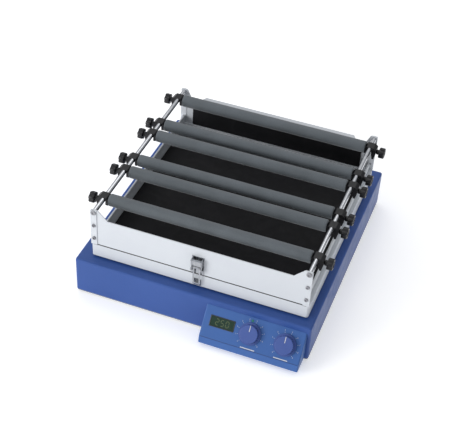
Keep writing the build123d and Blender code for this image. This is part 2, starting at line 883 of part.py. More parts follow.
def make_platform_tray():
    """The pan of the platform: a floor, an inner wall, a ledge and an outer skirt."""

    def block(inset, low, high):
        corner = max(tray_corner - inset, 1.0)
        half = tray_half_width - inset
        return rounded_block(half, tray_front + inset, tray_back - inset, low, high, corner)

    tray = block(0, rim_low, rim_top)
    tray -= block(tray_ledge, floor_top, rim_top)
    tray -= block(sheet, rim_low, floor_low)
    tray -= block(sheet, floor_low, rim_top - sheet) - block(tray_ledge - sheet, floor_low, rim_top - sheet)
    for x, y in post_places():
        hole = Cone(post_screw_radius + static_gap, post_screw_head_radius + static_gap, tray_floor_thickness)
        tray -= Pos(x, y, (floor_low + floor_top) / 2) * hole
    return tray


def make_tray_mat():
    """The black mat on the tray's floor, and the liner inside each end plate."""
    inset = tray_ledge + mat_gap
    mat = rounded_block(
        tray_half_width - inset,
        tray_front + inset,
        tray_back - inset,
        floor_top,
        floor_top + mat_thickness,
        mat_corner,
    )
    liner_span = (rim_top, plate_top - liner_drop)
    half = (-liner_half_width, liner_half_width)
    front = slab(half, (tray_front + sheet, tray_front + sheet + liner_thickness), liner_span)
    back = slab(half, (tray_back - sheet - liner_thickness, tray_back - sheet), liner_span)
    return group([mat, front, back])


def end_screw_places():
    """X and Z of the screws at the ends of each end plate: two plate screws and one rod screw a side."""
    heights = [rim_top + height for height in plate_screw_heights]
    return [(side * rod_half_spread, z) for side in (-1, 1) for z in heights]


def end_plate(outer, inward, ear_foot, ear_top_x):
    """An end plate with raised ears and a strip at each end. Inward is +1 at the front and -1 at the back."""
    width = tray_half_width
    outline = [
        (-width, rim_top),
        (width, rim_top),
        (width, ear_top),
        (ear_top_x, ear_top),
        (ear_foot, plate_top),
        (-ear_foot, plate_top),
        (-ear_top_x, ear_top),
        (-width, ear_top),
    ]
    y_span = sorted((outer, outer + inward * sheet))
    plate = front_prism(outline, y_span)
    ears = plate.edges().filter_by(Axis.Y).group_by(Axis.Z)[-1]
    plate = fillet(ears, ear_rounding)
    strip_span = sorted((outer, outer - inward * end_strip_thickness))
    for side in (-1, 1):
        x_span = sorted((side * width, side * (width - end_strip_width)))
        strip = slab(x_span, strip_span, (rim_top, ear_top))
        top_edge = strip.edges().filter_by(Axis.Y).group_by(Axis.Z)[-1].sort_by(Axis.X)
        plate += fillet(top_edge[-1] if side > 0 else top_edge[0], ear_rounding)
    cut_span = (min(strip_span[0], y_span[0]) - 1, max(strip_span[1], y_span[1]) + 1)
    for x, z in end_screw_places():
        plate -= bar("Y", screw_radius + running_gap, cut_span, (x, z))
    for side in (-1, 1):
        plate -= bar("Y", rod_screw_radius + running_gap, cut_span, (side * rod_half_spread, rod_z))
    return plate


def make_front_end_plate():
    """The front end plate, with wide ears."""
    return end_plate(tray_front, 1, front_ear_foot, front_ear_top)


def make_back_end_plate():
    """The back end plate, with narrow ears and a flange folded outwards along its top."""
    plate = end_plate(tray_back, -1, back_ear_foot, back_ear_top)
    half = back_flange_half
    outline = [
        (-half, tray_back - sheet),
        (half, tray_back - sheet),
        (half - back_flange_chamfer, tray_back + back_flange_reach),
        (-half + back_flange_chamfer, tray_back + back_flange_reach),
    ]
    flange = extrude(Polygon(*outline, align=None), amount=sheet, dir=(0, 0, -1))
    return plate + Pos(0, 0, plate_top) * flange


def make_side_walls():
    """Two low side walls, each with a foot on the ledge, a hem along its top and a tab at each end."""
    outer = tray_half_width - side_wall_inset
    y_span = (tray_front + sheet, tray_back - sheet)
    wall_top = rim_top + side_wall_height
    wall = slab((outer - side_wall_sheet, outer), y_span, (rim_top, wall_top))
    foot = slab((outer, tray_half_width), y_span, (rim_top, rim_top + side_wall_sheet))
    hem = slab((outer - side_hem_width, outer), y_span, (wall_top - side_hem_height, wall_top))
    hem = fillet(hem.edges().filter_by(Axis.Y), side_hem_width * 0.4)
    right = wall + foot + hem
    tab_x = (tray_half_width - corner_tab_width, tray_half_width)
    for start, step in ((y_span[0], 1), (y_span[1], -1)):
        tab_y = sorted((start, start + step * side_wall_sheet))
        right += slab(tab_x, tab_y, (rim_top, rim_top + corner_tab_height))
    reach = side_wall_sheet + plate_screw_tip + 1
    for x, z in end_screw_places():
        if x > 0:
            right -= bar("Y", screw_radius + static_gap, (y_span[0] - 1, y_span[0] + reach), (x, z))
            right -= bar("Y", screw_radius + static_gap, (y_span[1] - reach, y_span[1] + 1), (x, z))
    return group(mirrored_x(right))


def make_guide_rods():
    """Two polished rods between the end plates, with a thread in each end."""
    y_span = (tray_front + sheet, tray_back - sheet)
    rod = bar("Y", rod_radius, y_span, (rod_half_spread, rod_z))
    for low, high in ((y_span[0], y_span[0] + screw_length + 2), (y_span[1] - screw_length - 2, y_span[1])):
        rod -= bar("Y", rod_screw_radius + static_gap, (low, high), (rod_half_spread, rod_z))
    return group(mirrored_x(rod))


def make_frame_screws():
    """The screws of the platform: plate screws, rod end screws and the countersunk post screws."""
    short = end_strip_thickness + sheet + side_wall_sheet + plate_screw_tip
    plate_screw = pan_screw(screw_radius, screw_head_radius, screw_head_height, short)
    rod_screw = pan_screw(rod_screw_radius, rod_screw_head_radius, screw_head_height, screw_length)
    screws = []
    for seat, normal in ((tray_front - end_strip_thickness, -1), (tray_back + end_strip_thickness, 1)):
        for x, z in end_screw_places():
            screws.append(placed(plate_screw, (x, seat, z), (0, normal, 0)))
        for side in (-1, 1):
            screws.append(placed(rod_screw, (side * rod_half_spread, seat, rod_z), (0, normal, 0)))
    head = Pos(0, 0, tray_floor_thickness / 2) * Cone(
        post_screw_radius, post_screw_head_radius, tray_floor_thickness
    )
    post_screw = head + Pos(0, 0, -screw_length / 2) * Cylinder(post_screw_radius, screw_length)
    screws += [Pos(x, y, floor_low) * post_screw for x, y in post_places()]
    return group(screws)


# Latches. Each is drawn at the front, and turned half round the platform's middle for the back.

def at_end(shape, end):
    """The shape as drawn at the front, or turned to the back."""
    if end == "front":
        return shape
    return Pos(0, tray_middle, 0) * Rot(0, 0, 180) * Pos(0, -tray_middle, 0) * shape


def latch_pivot():
    """Y and Z of the front latch lever's pivot."""
    return tray_front - latch_pivot_stand, rim_top + latch_pivot_rise


def loop_pin():
    """Y and Z of the front latch's loop pin, at rest above the lever's pivot."""
    y, z = latch_pivot()
    return y, z + latch_arm


def catch_z():
    """The height at which the closed loop's bar hooks under the catch's tab."""
    return loop_pin()[1] - loop_reach


def make_latch_plates():
    """The base plate of both latches on the end plates, and their catches below on the tray's rim."""
    pieces = []
    pivot_y, pivot_z = latch_pivot()
    half = latch_width / 2
    plate_y = (tray_front - latch_plate_thickness, tray_front)
    plate_low = rim_top + latch_plate_rise
    plate = slab((-half, half), plate_y, (plate_low, plate_low + latch_plate_height))
    ear_z = (pivot_z - latch_ear_half, pivot_z + latch_ear_half)
    for side in (-1, 1):
        ear_x = sorted((side * half, side * (half - latch_plate_thickness)))
        plate += slab(ear_x, (pivot_y - latch_ear_half, tray_front), ear_z)
        stub = sorted((side * half, side * (loop_width / 2 + 2 * soft_gap)))
        plate += bar("X", latch_pin_radius, stub, (pivot_y, pivot_z))
    catch_half = catch_plate_width / 2
    catch_span = (catch_z() - catch_height / 2, catch_z() + catch_height / 2)
    catch = slab((-catch_half, catch_half), plate_y, catch_span)
    tab_low = catch_z() + loop_bar / 2 + soft_gap
    catch += slab(
        (-catch_width / 2, catch_width / 2),
        (tray_front - catch_reach, tray_front),
        (tab_low, tab_low + latch_plate_thickness),
    )
    for end in ("front", "back"):
        pieces += [at_end(plate, end), at_end(catch, end)]
    return group(pieces)


def make_latch_lever(end):
    """The latch lever, standing up from its pivot: two cheeks, a handle with a lip, and the loop's pin."""
    pivot_y, pivot_z = latch_pivot()
    pin_y, pin_z = loop_pin()
    half = latch_width / 2 - latch_plate_thickness - soft_gap
    top = pivot_z + lever_length
    front = pivot_y - lever_front
    outer = front - lever_thickness
    lever = slab((-half, half), (outer, front), (pin_z + lever_handle_rise, top))
    lever += slab((-half, half), (outer - lever_lip, front), (top - lever_thickness, top))
    for side in (-1, 1):
        cheek_x = sorted((side * half, side * (half - lever_thickness)))
        lever += slab(cheek_x, (front, pivot_y + lever_back), (pivot_z, top))
        lever += bar("X", lever_boss_radius, cheek_x, (pivot_y, pivot_z))
    lever += bar("X", latch_pin_radius, (-half, half), (pin_y, pin_z))
    lever -= bar("X", latch_pin_radius + running_gap, (-half - 1, half + 1), (pivot_y, pivot_z))
    return at_end(lever, end)


def make_latch_loop(end):
    """The flat loop, from the lever's pin down to its bar under the catch."""
    pin_y, pin_z = loop_pin()
    half = loop_width / 2
    y_span = (pin_y - loop_thickness / 2, pin_y + loop_thickness / 2)
    low = catch_z() - loop_bar / 2
    loop = slab((-half, half), y_span, (low, pin_z))
    loop = fillet(loop.edges().filter_by(Axis.Y).group_by(Axis.Z)[0], loop_bar)
    window_x = (-half + loop_bar, half - loop_bar)
    window_top = pin_z - loop_eye_radius - soft_gap
    loop -= slab(window_x, (y_span[0] - 1, y_span[1] + 1), (low + loop_bar, window_top))
    loop += bar("X", loop_eye_radius, (-half, half), (pin_y, pin_z))
    loop -= bar("X", latch_pin_radius + running_gap, (-half - 1, half + 1), (pin_y, pin_z))
    return at_end(loop, end)


# Rollers

def roller_y(index):
    """The rest place of one roller."""
    return tray_front + roller_offsets[index]


def make_foam_sleeve(index):
    """The foam sleeve over the core tube."""
    y = roller_y(index)
    span = (-foam_half_length, foam_half_length)
    bore = bar("X", core_radius + static_gap, span, (y, roller_z))
    return bar("X", foam_radius, span, (y, roller_z)) - bore


def clamp_block(y):
    """The right saddle clamp: it sits over the rod, and its two legs are drawn together below it."""
    rod_gap = rod_radius + running_gap
    crown = rod_z + clamp_crown
    outline = [
        (clamp_inner, rod_z - clamp_inner_leg_drop),
        (clamp_inner, crown - clamp_crown_bevel),
        (clamp_inner + clamp_crown_bevel, crown),
        (clamp_outer - clamp_shoulder_in, crown),
        (clamp_outer, crown - clamp_shoulder_down),
        (clamp_outer, rod_z - clamp_inner_leg_drop + clamp_skirt_up),
        (clamp_outer - clamp_skirt_in, rod_z - clamp_leg_drop),
        (clamp_outer - clamp_skirt_in - clamp_leg_width, rod_z - clamp_leg_drop),
        (rod_half_spread + rod_gap, rod_z - clamp_inner_leg_drop),
    ]
    y_span = (y - clamp_depth / 2, y + clamp_depth / 2)
    block = front_prism(outline, y_span)
    crown_edges = block.edges().filter_by(Axis.Y).group_by(Axis.Z)[-1]
    block = fillet(crown_edges, clamp_rounding)
    block -= bar("Y", rod_gap, (y_span[0] - 1, y_span[1] + 1), (rod_half_spread, rod_z))
    block -= slab(
        (rod_half_spread - rod_gap, rod_half_spread + rod_gap),
        (y_span[0] - 1, y_span[1] + 1),
        (rod_z - clamp_leg_drop - 1, rod_z),
    )
    stub_span = (clamp_inner - 1, clamp_inner + core_stub_length)
    block -= bar("X", core_stub_radius + static_gap, stub_span, (y, roller_z))
    thread_span = (clamp_inner + clamp_screw_inset / 2, clamp_outer + 1)
    return block - bar("X", clamp_screw_radius + running_gap, thread_span, (y, clamp_screw_z))


def make_roller_carrier(index):
    """The core tube with a stub at each end, and the saddle clamp on each stub."""
    y = roller_y(index)
    half = clamp_inner
    tube = bar("X", core_radius, (-half, half), (y, roller_z))
    tube -= bar("X", core_radius - core_wall, (-half + core_plug, half - core_plug), (y, roller_z))
    stub_half = half + core_stub_length
    tube += bar("X", core_stub_radius, (-stub_half, -half), (y, roller_z))
    tube += bar("X", core_stub_radius, (half, stub_half), (y, roller_z))
    return group([tube] + mirrored_x(clamp_block(y)))


def make_clamp_knob(index, side):
    """A lobed clamp knob with its neck and screw. Side is +1 on the right and -1 on the left."""
    y = roller_y(index)
    neck_start = clamp_outer + soft_gap
    head_start = neck_start + knob_neck_length
    head_end = head_start + knob_thickness
    head = bar("X", knob_radius, (head_start, head_end), (0, 0))
    head = fillet(head.edges().filter_by(GeomType.CIRCLE), knob_rounding)
    ring = knob_radius + knob_scallop_stand
    for step in range(knob_lobes):
        turn = math.radians(360 / knob_lobes * step)
        place = (ring * math.cos(turn), ring * math.sin(turn))
        head -= bar("X", knob_scallop, (head_start - 1, head_end + 1), place)
    head += bar("X", knob_neck_radius, (neck_start, head_start), (0, 0))
    head += bar("X", clamp_screw_radius, (clamp_inner + clamp_screw_inset, neck_start), (0, 0))
    knob = Pos(0, y, clamp_screw_z) * head
    return knob if side > 0 else mirror(knob, about=Plane.YZ)


def base_nodes():
    """Every node that stands with the base, or turns in it."""
    return {
        "base_housing": make_base_housing(),
        "bottom_plate": make_bottom_plate(),
        "rubber_feet": make_rubber_feet(),
        "housing_screws": make_housing_screws(),
        "control_panel": make_control_panel(),
        "display_window": make_display_window(),
        "control_board": make_control_board(),
        "status_led": make_status_led(),
        "speed_knob": make_dial(speed_knob_place),
        "timer_knob": make_dial(timer_knob_place),
        "mains_inlet": make_mains_inlet(),
        "power_rocker": make_power_rocker(),
        "power_supply": make_power_supply(),
        "guide_shafts": make_guide_shafts(),
        "shaft_supports": make_shaft_supports(),
        "crank_shaft": make_crank_shaft(),
        "crank_pulley": make_crank_pulley(),
        "crank_bearings": make_crank_bearings(),
        "motor": make_motor(),
        "motor_pulley": make_motor_pulley(),
        "drive_bracket": make_drive_bracket(),
        "drive_belt": make_drive_belt(),
    }


def platform_nodes():
    """Every node that slides with the platform."""
    nodes = {
        "linear_bearings": make_linear_bearings(),
        "carriage": make_carriage(),
        "platform_tray": make_platform_tray(),
        "tray_mat": make_tray_mat(),
        "front_end_plate": make_front_end_plate(),
        "back_end_plate": make_back_end_plate(),
        "side_walls": make_side_walls(),
        "guide_rods": make_guide_rods(),
        "frame_screws": make_frame_screws(),
        "latch_plates": make_latch_plates(),
    }
    for end in ("front", "back"):
        nodes[f"{end}_latch_lever"] = make_latch_lever(end)
        nodes[f"{end}_latch_loop"] = make_latch_loop(end)
    for index in range(len(roller_offsets)):
        number = index + 1
        nodes[f"foam_sleeve_{number}"] = make_foam_sleeve(index)
        nodes[f"roller_carrier_{number}"] = make_roller_carrier(index)
        nodes[f"left_knob_{number}"] = make_clamp_knob(index, -1)
        nodes[f"right_knob_{number}"] = make_clamp_knob(index, 1)
    return nodes


os.makedirs("parts", exist_ok=True)
for nodes, x in ((base_nodes(), base_x), (platform_nodes(), platform_x)):
    for node, shape in nodes.items():
        export_step(moved_along(shape, x), f"parts/{node}.step")
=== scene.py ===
import math

import bmesh
import bpy
from mathutils import Matrix, Quaternion, Vector


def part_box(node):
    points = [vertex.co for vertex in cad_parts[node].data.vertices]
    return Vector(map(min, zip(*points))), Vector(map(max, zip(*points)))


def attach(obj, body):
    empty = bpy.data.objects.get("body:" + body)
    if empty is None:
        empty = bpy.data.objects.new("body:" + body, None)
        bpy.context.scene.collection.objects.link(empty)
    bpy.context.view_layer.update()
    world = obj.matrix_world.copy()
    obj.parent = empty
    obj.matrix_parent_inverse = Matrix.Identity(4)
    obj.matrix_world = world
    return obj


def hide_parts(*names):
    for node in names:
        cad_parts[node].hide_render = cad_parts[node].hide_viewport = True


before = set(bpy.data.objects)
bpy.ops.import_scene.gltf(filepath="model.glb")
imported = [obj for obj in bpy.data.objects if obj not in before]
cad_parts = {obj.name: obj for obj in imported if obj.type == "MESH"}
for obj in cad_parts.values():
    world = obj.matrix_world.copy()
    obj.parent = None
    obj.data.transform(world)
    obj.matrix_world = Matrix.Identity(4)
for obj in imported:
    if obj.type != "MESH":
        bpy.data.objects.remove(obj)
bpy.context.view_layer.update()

# Sizes in metres, in the same frame as the solids
MM = 0.001
ROLLER_COUNT = 6
FOAM_BORE = 8.0 * MM
FOAM_RINGS = 70
FOAM_COLLAR = 10.0 * MM
FOAM_END_BEVEL = 2.2 * MM
FOAM_DENT_SIZE = 50.0 * MM
FOAM_DENT_DEPTH = 0.5 * MM
BASE_X = -4.75 * MM
PLATFORM_X = 1.25 * MM
PLATFORM_MIDDLE_Y = 8.95 * MM
RIM_TOP = 124.5 * MM
TRAY_FRONT = -226.6 * MM
SLOPE_TOP = Vector((BASE_X, -249.5 * MM, 76 * MM))
SLOPE_DOWN = Vector((0, -42, -52)).normalized()
SLOPE_OUT = Vector((0, -52, 42)).normalized()

# Places closer than this count as one
NEAR = 0.01 * MM

# Places on the panel's slope: X from the base's middle, and the distance down the slope
DISPLAY_PLACE = (77.2 * MM, 29.5 * MM)
DISPLAY_SIZE = (49.5 * MM, 20.0 * MM)
BEZEL_WIDTH = 1.8 * MM
BEZEL_HEIGHT = 0.6 * MM
BEZEL_LAP = 0.6 * MM
BEZEL_SEAT = 0.02 * MM
BEZEL_BEVEL = 0.25 * MM
SHOWN_DIGITS = "250"
DIGIT_HEIGHT = 12.0 * MM
DIGIT_WIDTH = 6.0 * MM
DIGIT_PITCH = 10.5 * MM
DIGIT_STROKE = 1.4 * MM
DIGIT_BEVEL = 0.45 * MM
DIAL_PLACES = {"speed": (136.0 * MM, 33.5 * MM), "timer": (209.0 * MM, 34.0 * MM)}
DIAL_HEIGHT = 12.0 * MM
DIAL_GRIP_RADIUS = 18.5 * MM
INDEX_SIZE = (1.4 * MM, 0.68 * DIAL_GRIP_RADIUS)
INDEX_MIDDLE = 0.6 * DIAL_GRIP_RADIUS
INDEX_DEPTH = 0.5 * MM
INDEX_SUNK = 0.1 * MM
INDEX_BEVEL = 0.3 * MM
SCALE_TURN = math.radians(270)
SCALE_MARKS = 10
SCALE_RADIUS = 25.2 * MM
SCALE_MARK_SIZE = (0.55 * MM, 2.2 * MM)
NUMBER_RADIUS = 29.0 * MM
NUMBER_SIZE = 3.6 * MM
LABEL_BARS = {"speed": (123.5 * MM, 153.3 * MM), "timer": (192.4 * MM, 221.2 * MM)}
LABEL_DOWN = 63.4 * MM
LABEL_HEIGHT = 1.7 * MM
PRINT_HEIGHT = 0.06 * MM
PRINT_BEVEL = 0.12 * MM
JOINT_PLACE = (141.0 * MM, 65.5 * MM)
JOINT_SIZE = (202.0 * MM, 0.9 * MM)
JOINT_BEVEL = 0.35 * MM
LIT_BARS = {
    "0": ("top", "bottom", "upper_left", "upper_right", "lower_left", "lower_right"),
    "2": ("top", "middle", "bottom", "upper_right", "lower_left"),
    "5": ("top", "middle", "bottom", "upper_left", "lower_right"),
}

# Platform and back details
KNOB_THICKNESS = 12.0 * MM
KNOB_LOBE_PITCH = 60
KNOB_SCALLOP = {0: 0.84, 7.5: 0.87, 15: 0.96}
KNOB_FACE_BORDER = 3.2 * MM
KNOB_DISH_RAMP = 0.8 * MM
KNOB_DISH_DEPTH = 1.2 * MM
KNOB_RIM_SHARE = 0.78
KNOB_RIM_BEVEL = 1.4 * MM
KNOB_NECK_RADIUS = 5.5 * MM
KNOB_NECK_LENGTH = 5.7 * MM
KNOB_NECK_SUNK = 1.0 * MM
KNOB_NECK_BEVEL = 0.8 * MM
KNOB_SCREW_RADIUS = 2.0 * MM
KNOB_SCREW_BEVEL = 0.5 * MM
MAT_THICKNESS = 3.0 * MM
MAT_SETBACK = 8.0 * MM
MAT_SHAPE = {
    "corner": 4.0 * MM, "segments": 5, "edge_bevel": 0.8 * MM,
    "border": 2.0 * MM, "ramp": 0.5 * MM, "sunk": 0.7 * MM,
}
LINER_HALF = 200.0 * MM
LINER_THICKNESS = 3.0 * MM
LINER_SHAPE = {
    "corner": 3.0 * MM, "segments": 4, "edge_bevel": 0.7 * MM,
    "border": 1.4 * MM, "ramp": 0.4 * MM, "sunk": 0.6 * MM,
}
SEAL_HALF = 216.6 * MM
SEAL_HEIGHT = 2.4 * MM
SEAL_STAND = 0.3 * MM
# The seal's tails are painted shadow: dark rubber under each end strip's lower edge
SHADOW_TAIL_END = 225.4 * MM
SHADOW_TAIL_STAND = 1.1 * MM
SEAL_BEVEL = 0.12 * MM
SEAL_END_STEP = 0.1 * MM
LATCH_PLATE_THICKNESS = 1.5 * MM
RIVET_RADIUS = 1.9 * MM
RIVET_HEIGHT = 1.1 * MM
RIVET_DOME = 0.75 * RIVET_HEIGHT
RIVET_PLACES = [(-9 * MM, 131.5 * MM), (9 * MM, 131.5 * MM), (-3.6 * MM, 99.2 * MM), (3.6 * MM, 99.2 * MM)]
INLET_PINS = [(155 * MM, 42 * MM), (162 * MM, 46 * MM), (169 * MM, 42 * MM)]
INLET_PIN_SPAN = (273.5 * MM, 287.6 * MM)
INLET_PIN_SIZE = (2.2 * MM, 4.2 * MM)
INLET_PIN_BEVEL = 0.5 * MM

# The photograph's camera
EYE = Vector((554.55, -1724.1, 1616.4)) * MM
AZIMUTH = math.radians(18.46)
ELEVATION = math.radians(40.39)
ROLL = math.radians(3.52)
FOCAL_PIXELS = 1108.4
IMAGE_WIDTH = 453
SENSOR_WIDTH = 36.0

# Studio, with each light's place, the width of its square and its power
LIGHTS = {
    "front_light": (Vector((-2.1, -2.4, 0.9)), 1.6, 60),
    "side_light": (Vector((2.6, -0.4, 1.5)), 1.4, 5),
    "top_light": (Vector((-0.4, 1.2, 2.6)), 2.2, 15),
}
LIGHT_TARGET = Vector((0, 0, 0.1))
SURROUND_STRENGTH = 0.74
FLOOR_WIDTH = 24
FLOOR_GLOW = 0.36


def make_camera():
    data = bpy.data.cameras.new("photo_camera")
    data.sensor_width = SENSOR_WIDTH
    data.lens = SENSOR_WIDTH * FOCAL_PIXELS / IMAGE_WIDTH
    data.clip_start = 0.05
    data.clip_end = 60
    camera = bpy.data.objects.new("photo_camera", data)
    bpy.context.collection.objects.link(camera)
    level = math.cos(ELEVATION)
    back = Vector((math.sin(AZIMUTH) * level, -math.cos(AZIMUTH) * level, math.sin(ELEVATION)))
    camera.rotation_mode = "QUATERNION"
    camera.rotation_quaternion = (-back).to_track_quat("-Z", "Y") @ Quaternion((0, 0, 1), ROLL)
    camera.location = EYE
    bpy.context.scene.camera = camera


def add_soft_light(name, place, size, power):
    data = bpy.data.lights.new(name, "AREA")
    data.shape = "SQUARE"
    data.size = size
    data.energy = power
    light = bpy.data.objects.new(name, data)
    bpy.context.collection.objects.link(light)
    light.location = place
    light.rotation_mode = "QUATERNION"
    light.rotation_quaternion = (LIGHT_TARGET - place).to_track_quat("-Z", "Y")


def make_surround():
    """A white surround, darker at the horizon and on the right, for bright metal to mirror."""
    world = bpy.data.worlds.new("studio")
    bpy.context.scene.world = world
    world.use_nodes = True
    tree = world.node_tree
    background = tree.nodes["Background"]
    coordinates = tree.nodes.new("ShaderNodeTexCoord")
    split = add_node(tree, "ShaderNodeSeparateXYZ", Vector=coordinates.outputs["Generated"])
    height = spread(tree, maths(tree, "ABSOLUTE", split.outputs["Z"]), 0, 1, 0.04, 0.5)
    sky = mix_colours(tree, height, (0.30, 0.31, 0.33, 1), (0.97, 0.98, 1.0, 1))
    rightness = spread(tree, split.outputs["X"], 0, 0.6, 0.1, 0.8)
    tree.links.new(mix_colours(tree, rightness, sky, (0.10, 0.12, 0.14, 1)), background.inputs["Color"])
    background.inputs["Strength"].default_value = SURROUND_STRENGTH


def make_studio():
    """A pale floor and three soft lights."""
    make_surround()
    for name, (place, size, power) in LIGHTS.items():
        add_soft_light(name, place, size, power)
    bpy.context.scene.view_settings.view_transform = "Standard"

    bpy.ops.mesh.primitive_plane_add(size=FLOOR_WIDTH, location=(0, 0, 0))
    floor = bpy.context.object
    floor.name = "studio_floor"
    material = bpy.data.materials.new("studio_floor_paint")
    material.use_nodes = True
    tree = material.node_tree
    shader = tree.nodes["Principled BSDF"]
    coordinates = tree.nodes.new("ShaderNodeTexCoord")
    clouds = add_node(tree, "ShaderNodeTexNoise", Vector=coordinates.outputs["Object"], Scale=1.5, Detail=2.0)
    tone = mix_colours(tree, clouds.outputs["Fac"], (0.93, 0.93, 0.935, 1), (0.96, 0.96, 0.96, 1))
    tree.links.new(tone, shader.inputs["Base Color"])
    tree.links.new(tone, shader.inputs["Emission Color"])
    shader.inputs["Emission Strength"].default_value = FLOOR_GLOW
    shader.inputs["Roughness"].default_value = 0.9
    floor.data.materials.append(material)


# Node building

def add_node(tree, kind, settings=None, **inputs):
    """A node with its settings, and its inputs given as values or as the sockets that feed them."""
    made = tree.nodes.new(kind)
    for label, value in (settings or {}).items():
        setattr(made, label, value)
    for label, value in inputs.items():
        socket = made.inputs[label.replace("_", " ")]
        if isinstance(value, bpy.types.NodeSocket):
            tree.links.new(value, socket)
        else:
            socket.default_value = value
    return made


def feed(tree, socket, value):
    if isinstance(value, bpy.types.NodeSocket):
        tree.links.new(value, socket)
    else:
        socket.default_value = value


def mix_colours(tree, share, first, second):
    """The first colour where the share is 0, and the second where it is 1."""
    mixer = tree.nodes.new("ShaderNodeMix")
    mixer.data_type = "RGBA"
    feed(tree, mixer.inputs[0], share)
    feed(tree, mixer.inputs[6], first)
    feed(tree, mixer.inputs[7], second)
    return mixer.outputs[2]


def spread(tree, value, low, high, from_low=0.0, from_high=1.0):
    """A value taken from one range to another."""
    ranger = add_node(tree, "ShaderNodeMapRange", Value=value, From_Min=from_low, From_Max=from_high)
    feed(tree, ranger.inputs["To Min"], low)
    feed(tree, ranger.inputs["To Max"], high)
    return ranger.outputs["Result"]


def maths(tree, operation, first, second=0.0):
    worker = tree.nodes.new("ShaderNodeMath")
    worker.operation = operation
    feed(tree, worker.inputs[0], first)
    feed(tree, worker.inputs[1], second)
    return worker.outputs[0]


def start_group(name, inputs, outputs):
    """An empty group with named inputs, each with its start value, and named outputs."""
    tree = bpy.data.node_groups.new(name, "ShaderNodeTree")
    for label, kind, value in inputs:
        socket = tree.interface.new_socket(name=label, in_out="INPUT", socket_type=kind)
        if value is not None:
            socket.default_value = value
    for label, kind in outputs:
        tree.interface.new_socket(name=label, in_out="OUTPUT", socket_type=kind)
    return tree, tree.nodes.new("NodeGroupInput").outputs, tree.nodes.new("NodeGroupOutput").inputs


def make_grain_group():
    """Fine orange-peel grain of a sprayed or moulded surface, with soft clouds of tone."""
    tree, given, result = start_group(
        "Surface grain",
        [("Vector", "NodeSocketVector", None), ("Fineness", "NodeSocketFloat", 900.0)],
        [("Height", "NodeSocketFloat"), ("Cloud", "NodeSocketFloat"), ("Smudge", "NodeSocketFloat")],
    )
    peel = add_node(tree, "ShaderNodeTexNoise", Vector=given["Vector"], Scale=given["Fineness"], Detail=2.0)
    pits = add_node(tree, "ShaderNodeTexVoronoi", Vector=given["Vector"], Scale=given["Fineness"])
    relief = maths(tree, "ADD", peel.outputs["Fac"], pits.outputs["Distance"])
    tree.links.new(spread(tree, relief, 0, 1, 0.2, 1.4), result["Height"])
    where = given["Vector"]
    cloud = add_node(tree, "ShaderNodeTexNoise", Vector=where, Scale=7.0, Detail=4.0, Roughness=0.6)
    tree.links.new(spread(tree, cloud.outputs["Fac"], 0, 1, 0.3, 0.7), result["Cloud"])
    smear = add_node(tree, "ShaderNodeTexNoise", Vector=where, Scale=26.0, Detail=5.0, Distortion=1.2)
    tree.links.new(spread(tree, smear.outputs["Fac"], 0, 1, 0.42, 0.7), result["Smudge"])
    return tree


def make_edge_group():
    """Rounded edges for the light, and a mask of where hands and tools rub them."""
    tree, given, result = start_group(
        "Rubbed edges",
        [("Vector", "NodeSocketVector", None), ("Radius", "NodeSocketFloat", 0.0006)],
        [("Normal", "NodeSocketVector"), ("Mask", "NodeSocketFloat")],
    )
    rounded = add_node(tree, "ShaderNodeBevel", {"samples": 4}, Radius=given["Radius"])
    tree.links.new(rounded.outputs["Normal"], result["Normal"])
    true = tree.nodes.new("ShaderNodeNewGeometry")
    likeness = tree.nodes.new("ShaderNodeVectorMath")
    likeness.operation = "DOT_PRODUCT"
    tree.links.new(rounded.outputs["Normal"], likeness.inputs[0])
    tree.links.new(true.outputs["Normal"], likeness.inputs[1])
    patches = add_node(tree, "ShaderNodeTexNoise", Vector=given["Vector"], Scale=120.0, Detail=4.0)
    turned = spread(tree, likeness.outputs["Value"], 1, 0, 0.75, 0.99)
    broken = spread(tree, patches.outputs["Fac"], 0, 1, 0.4, 0.62)
    tree.links.new(maths(tree, "MULTIPLY", turned, broken), result["Mask"])
    return tree


def make_brush_group():
    """Fine parallel lines of ground or brushed metal; the Mapping before it gives their direction."""
    tree, given, result = start_group(
        "Brush lines",
        [("Vector", "NodeSocketVector", None), ("Fineness", "NodeSocketFloat", 60.0)],
        [("Height", "NodeSocketFloat"), ("Tone", "NodeSocketFloat")],
    )
    lines = add_node(tree, "ShaderNodeTexNoise", Vector=given["Vector"], Scale=given["Fineness"], Detail=6.0)
    tree.links.new(lines.outputs["Fac"], result["Height"])
    coarse = maths(tree, "MULTIPLY", given["Fineness"], 0.12)
    wide = add_node(tree, "ShaderNodeTexNoise", Vector=given["Vector"], Scale=coarse, Detail=2.0)
    tree.links.new(spread(tree, wide.outputs["Fac"], 0, 1, 0.3, 0.7), result["Tone"])
    return tree


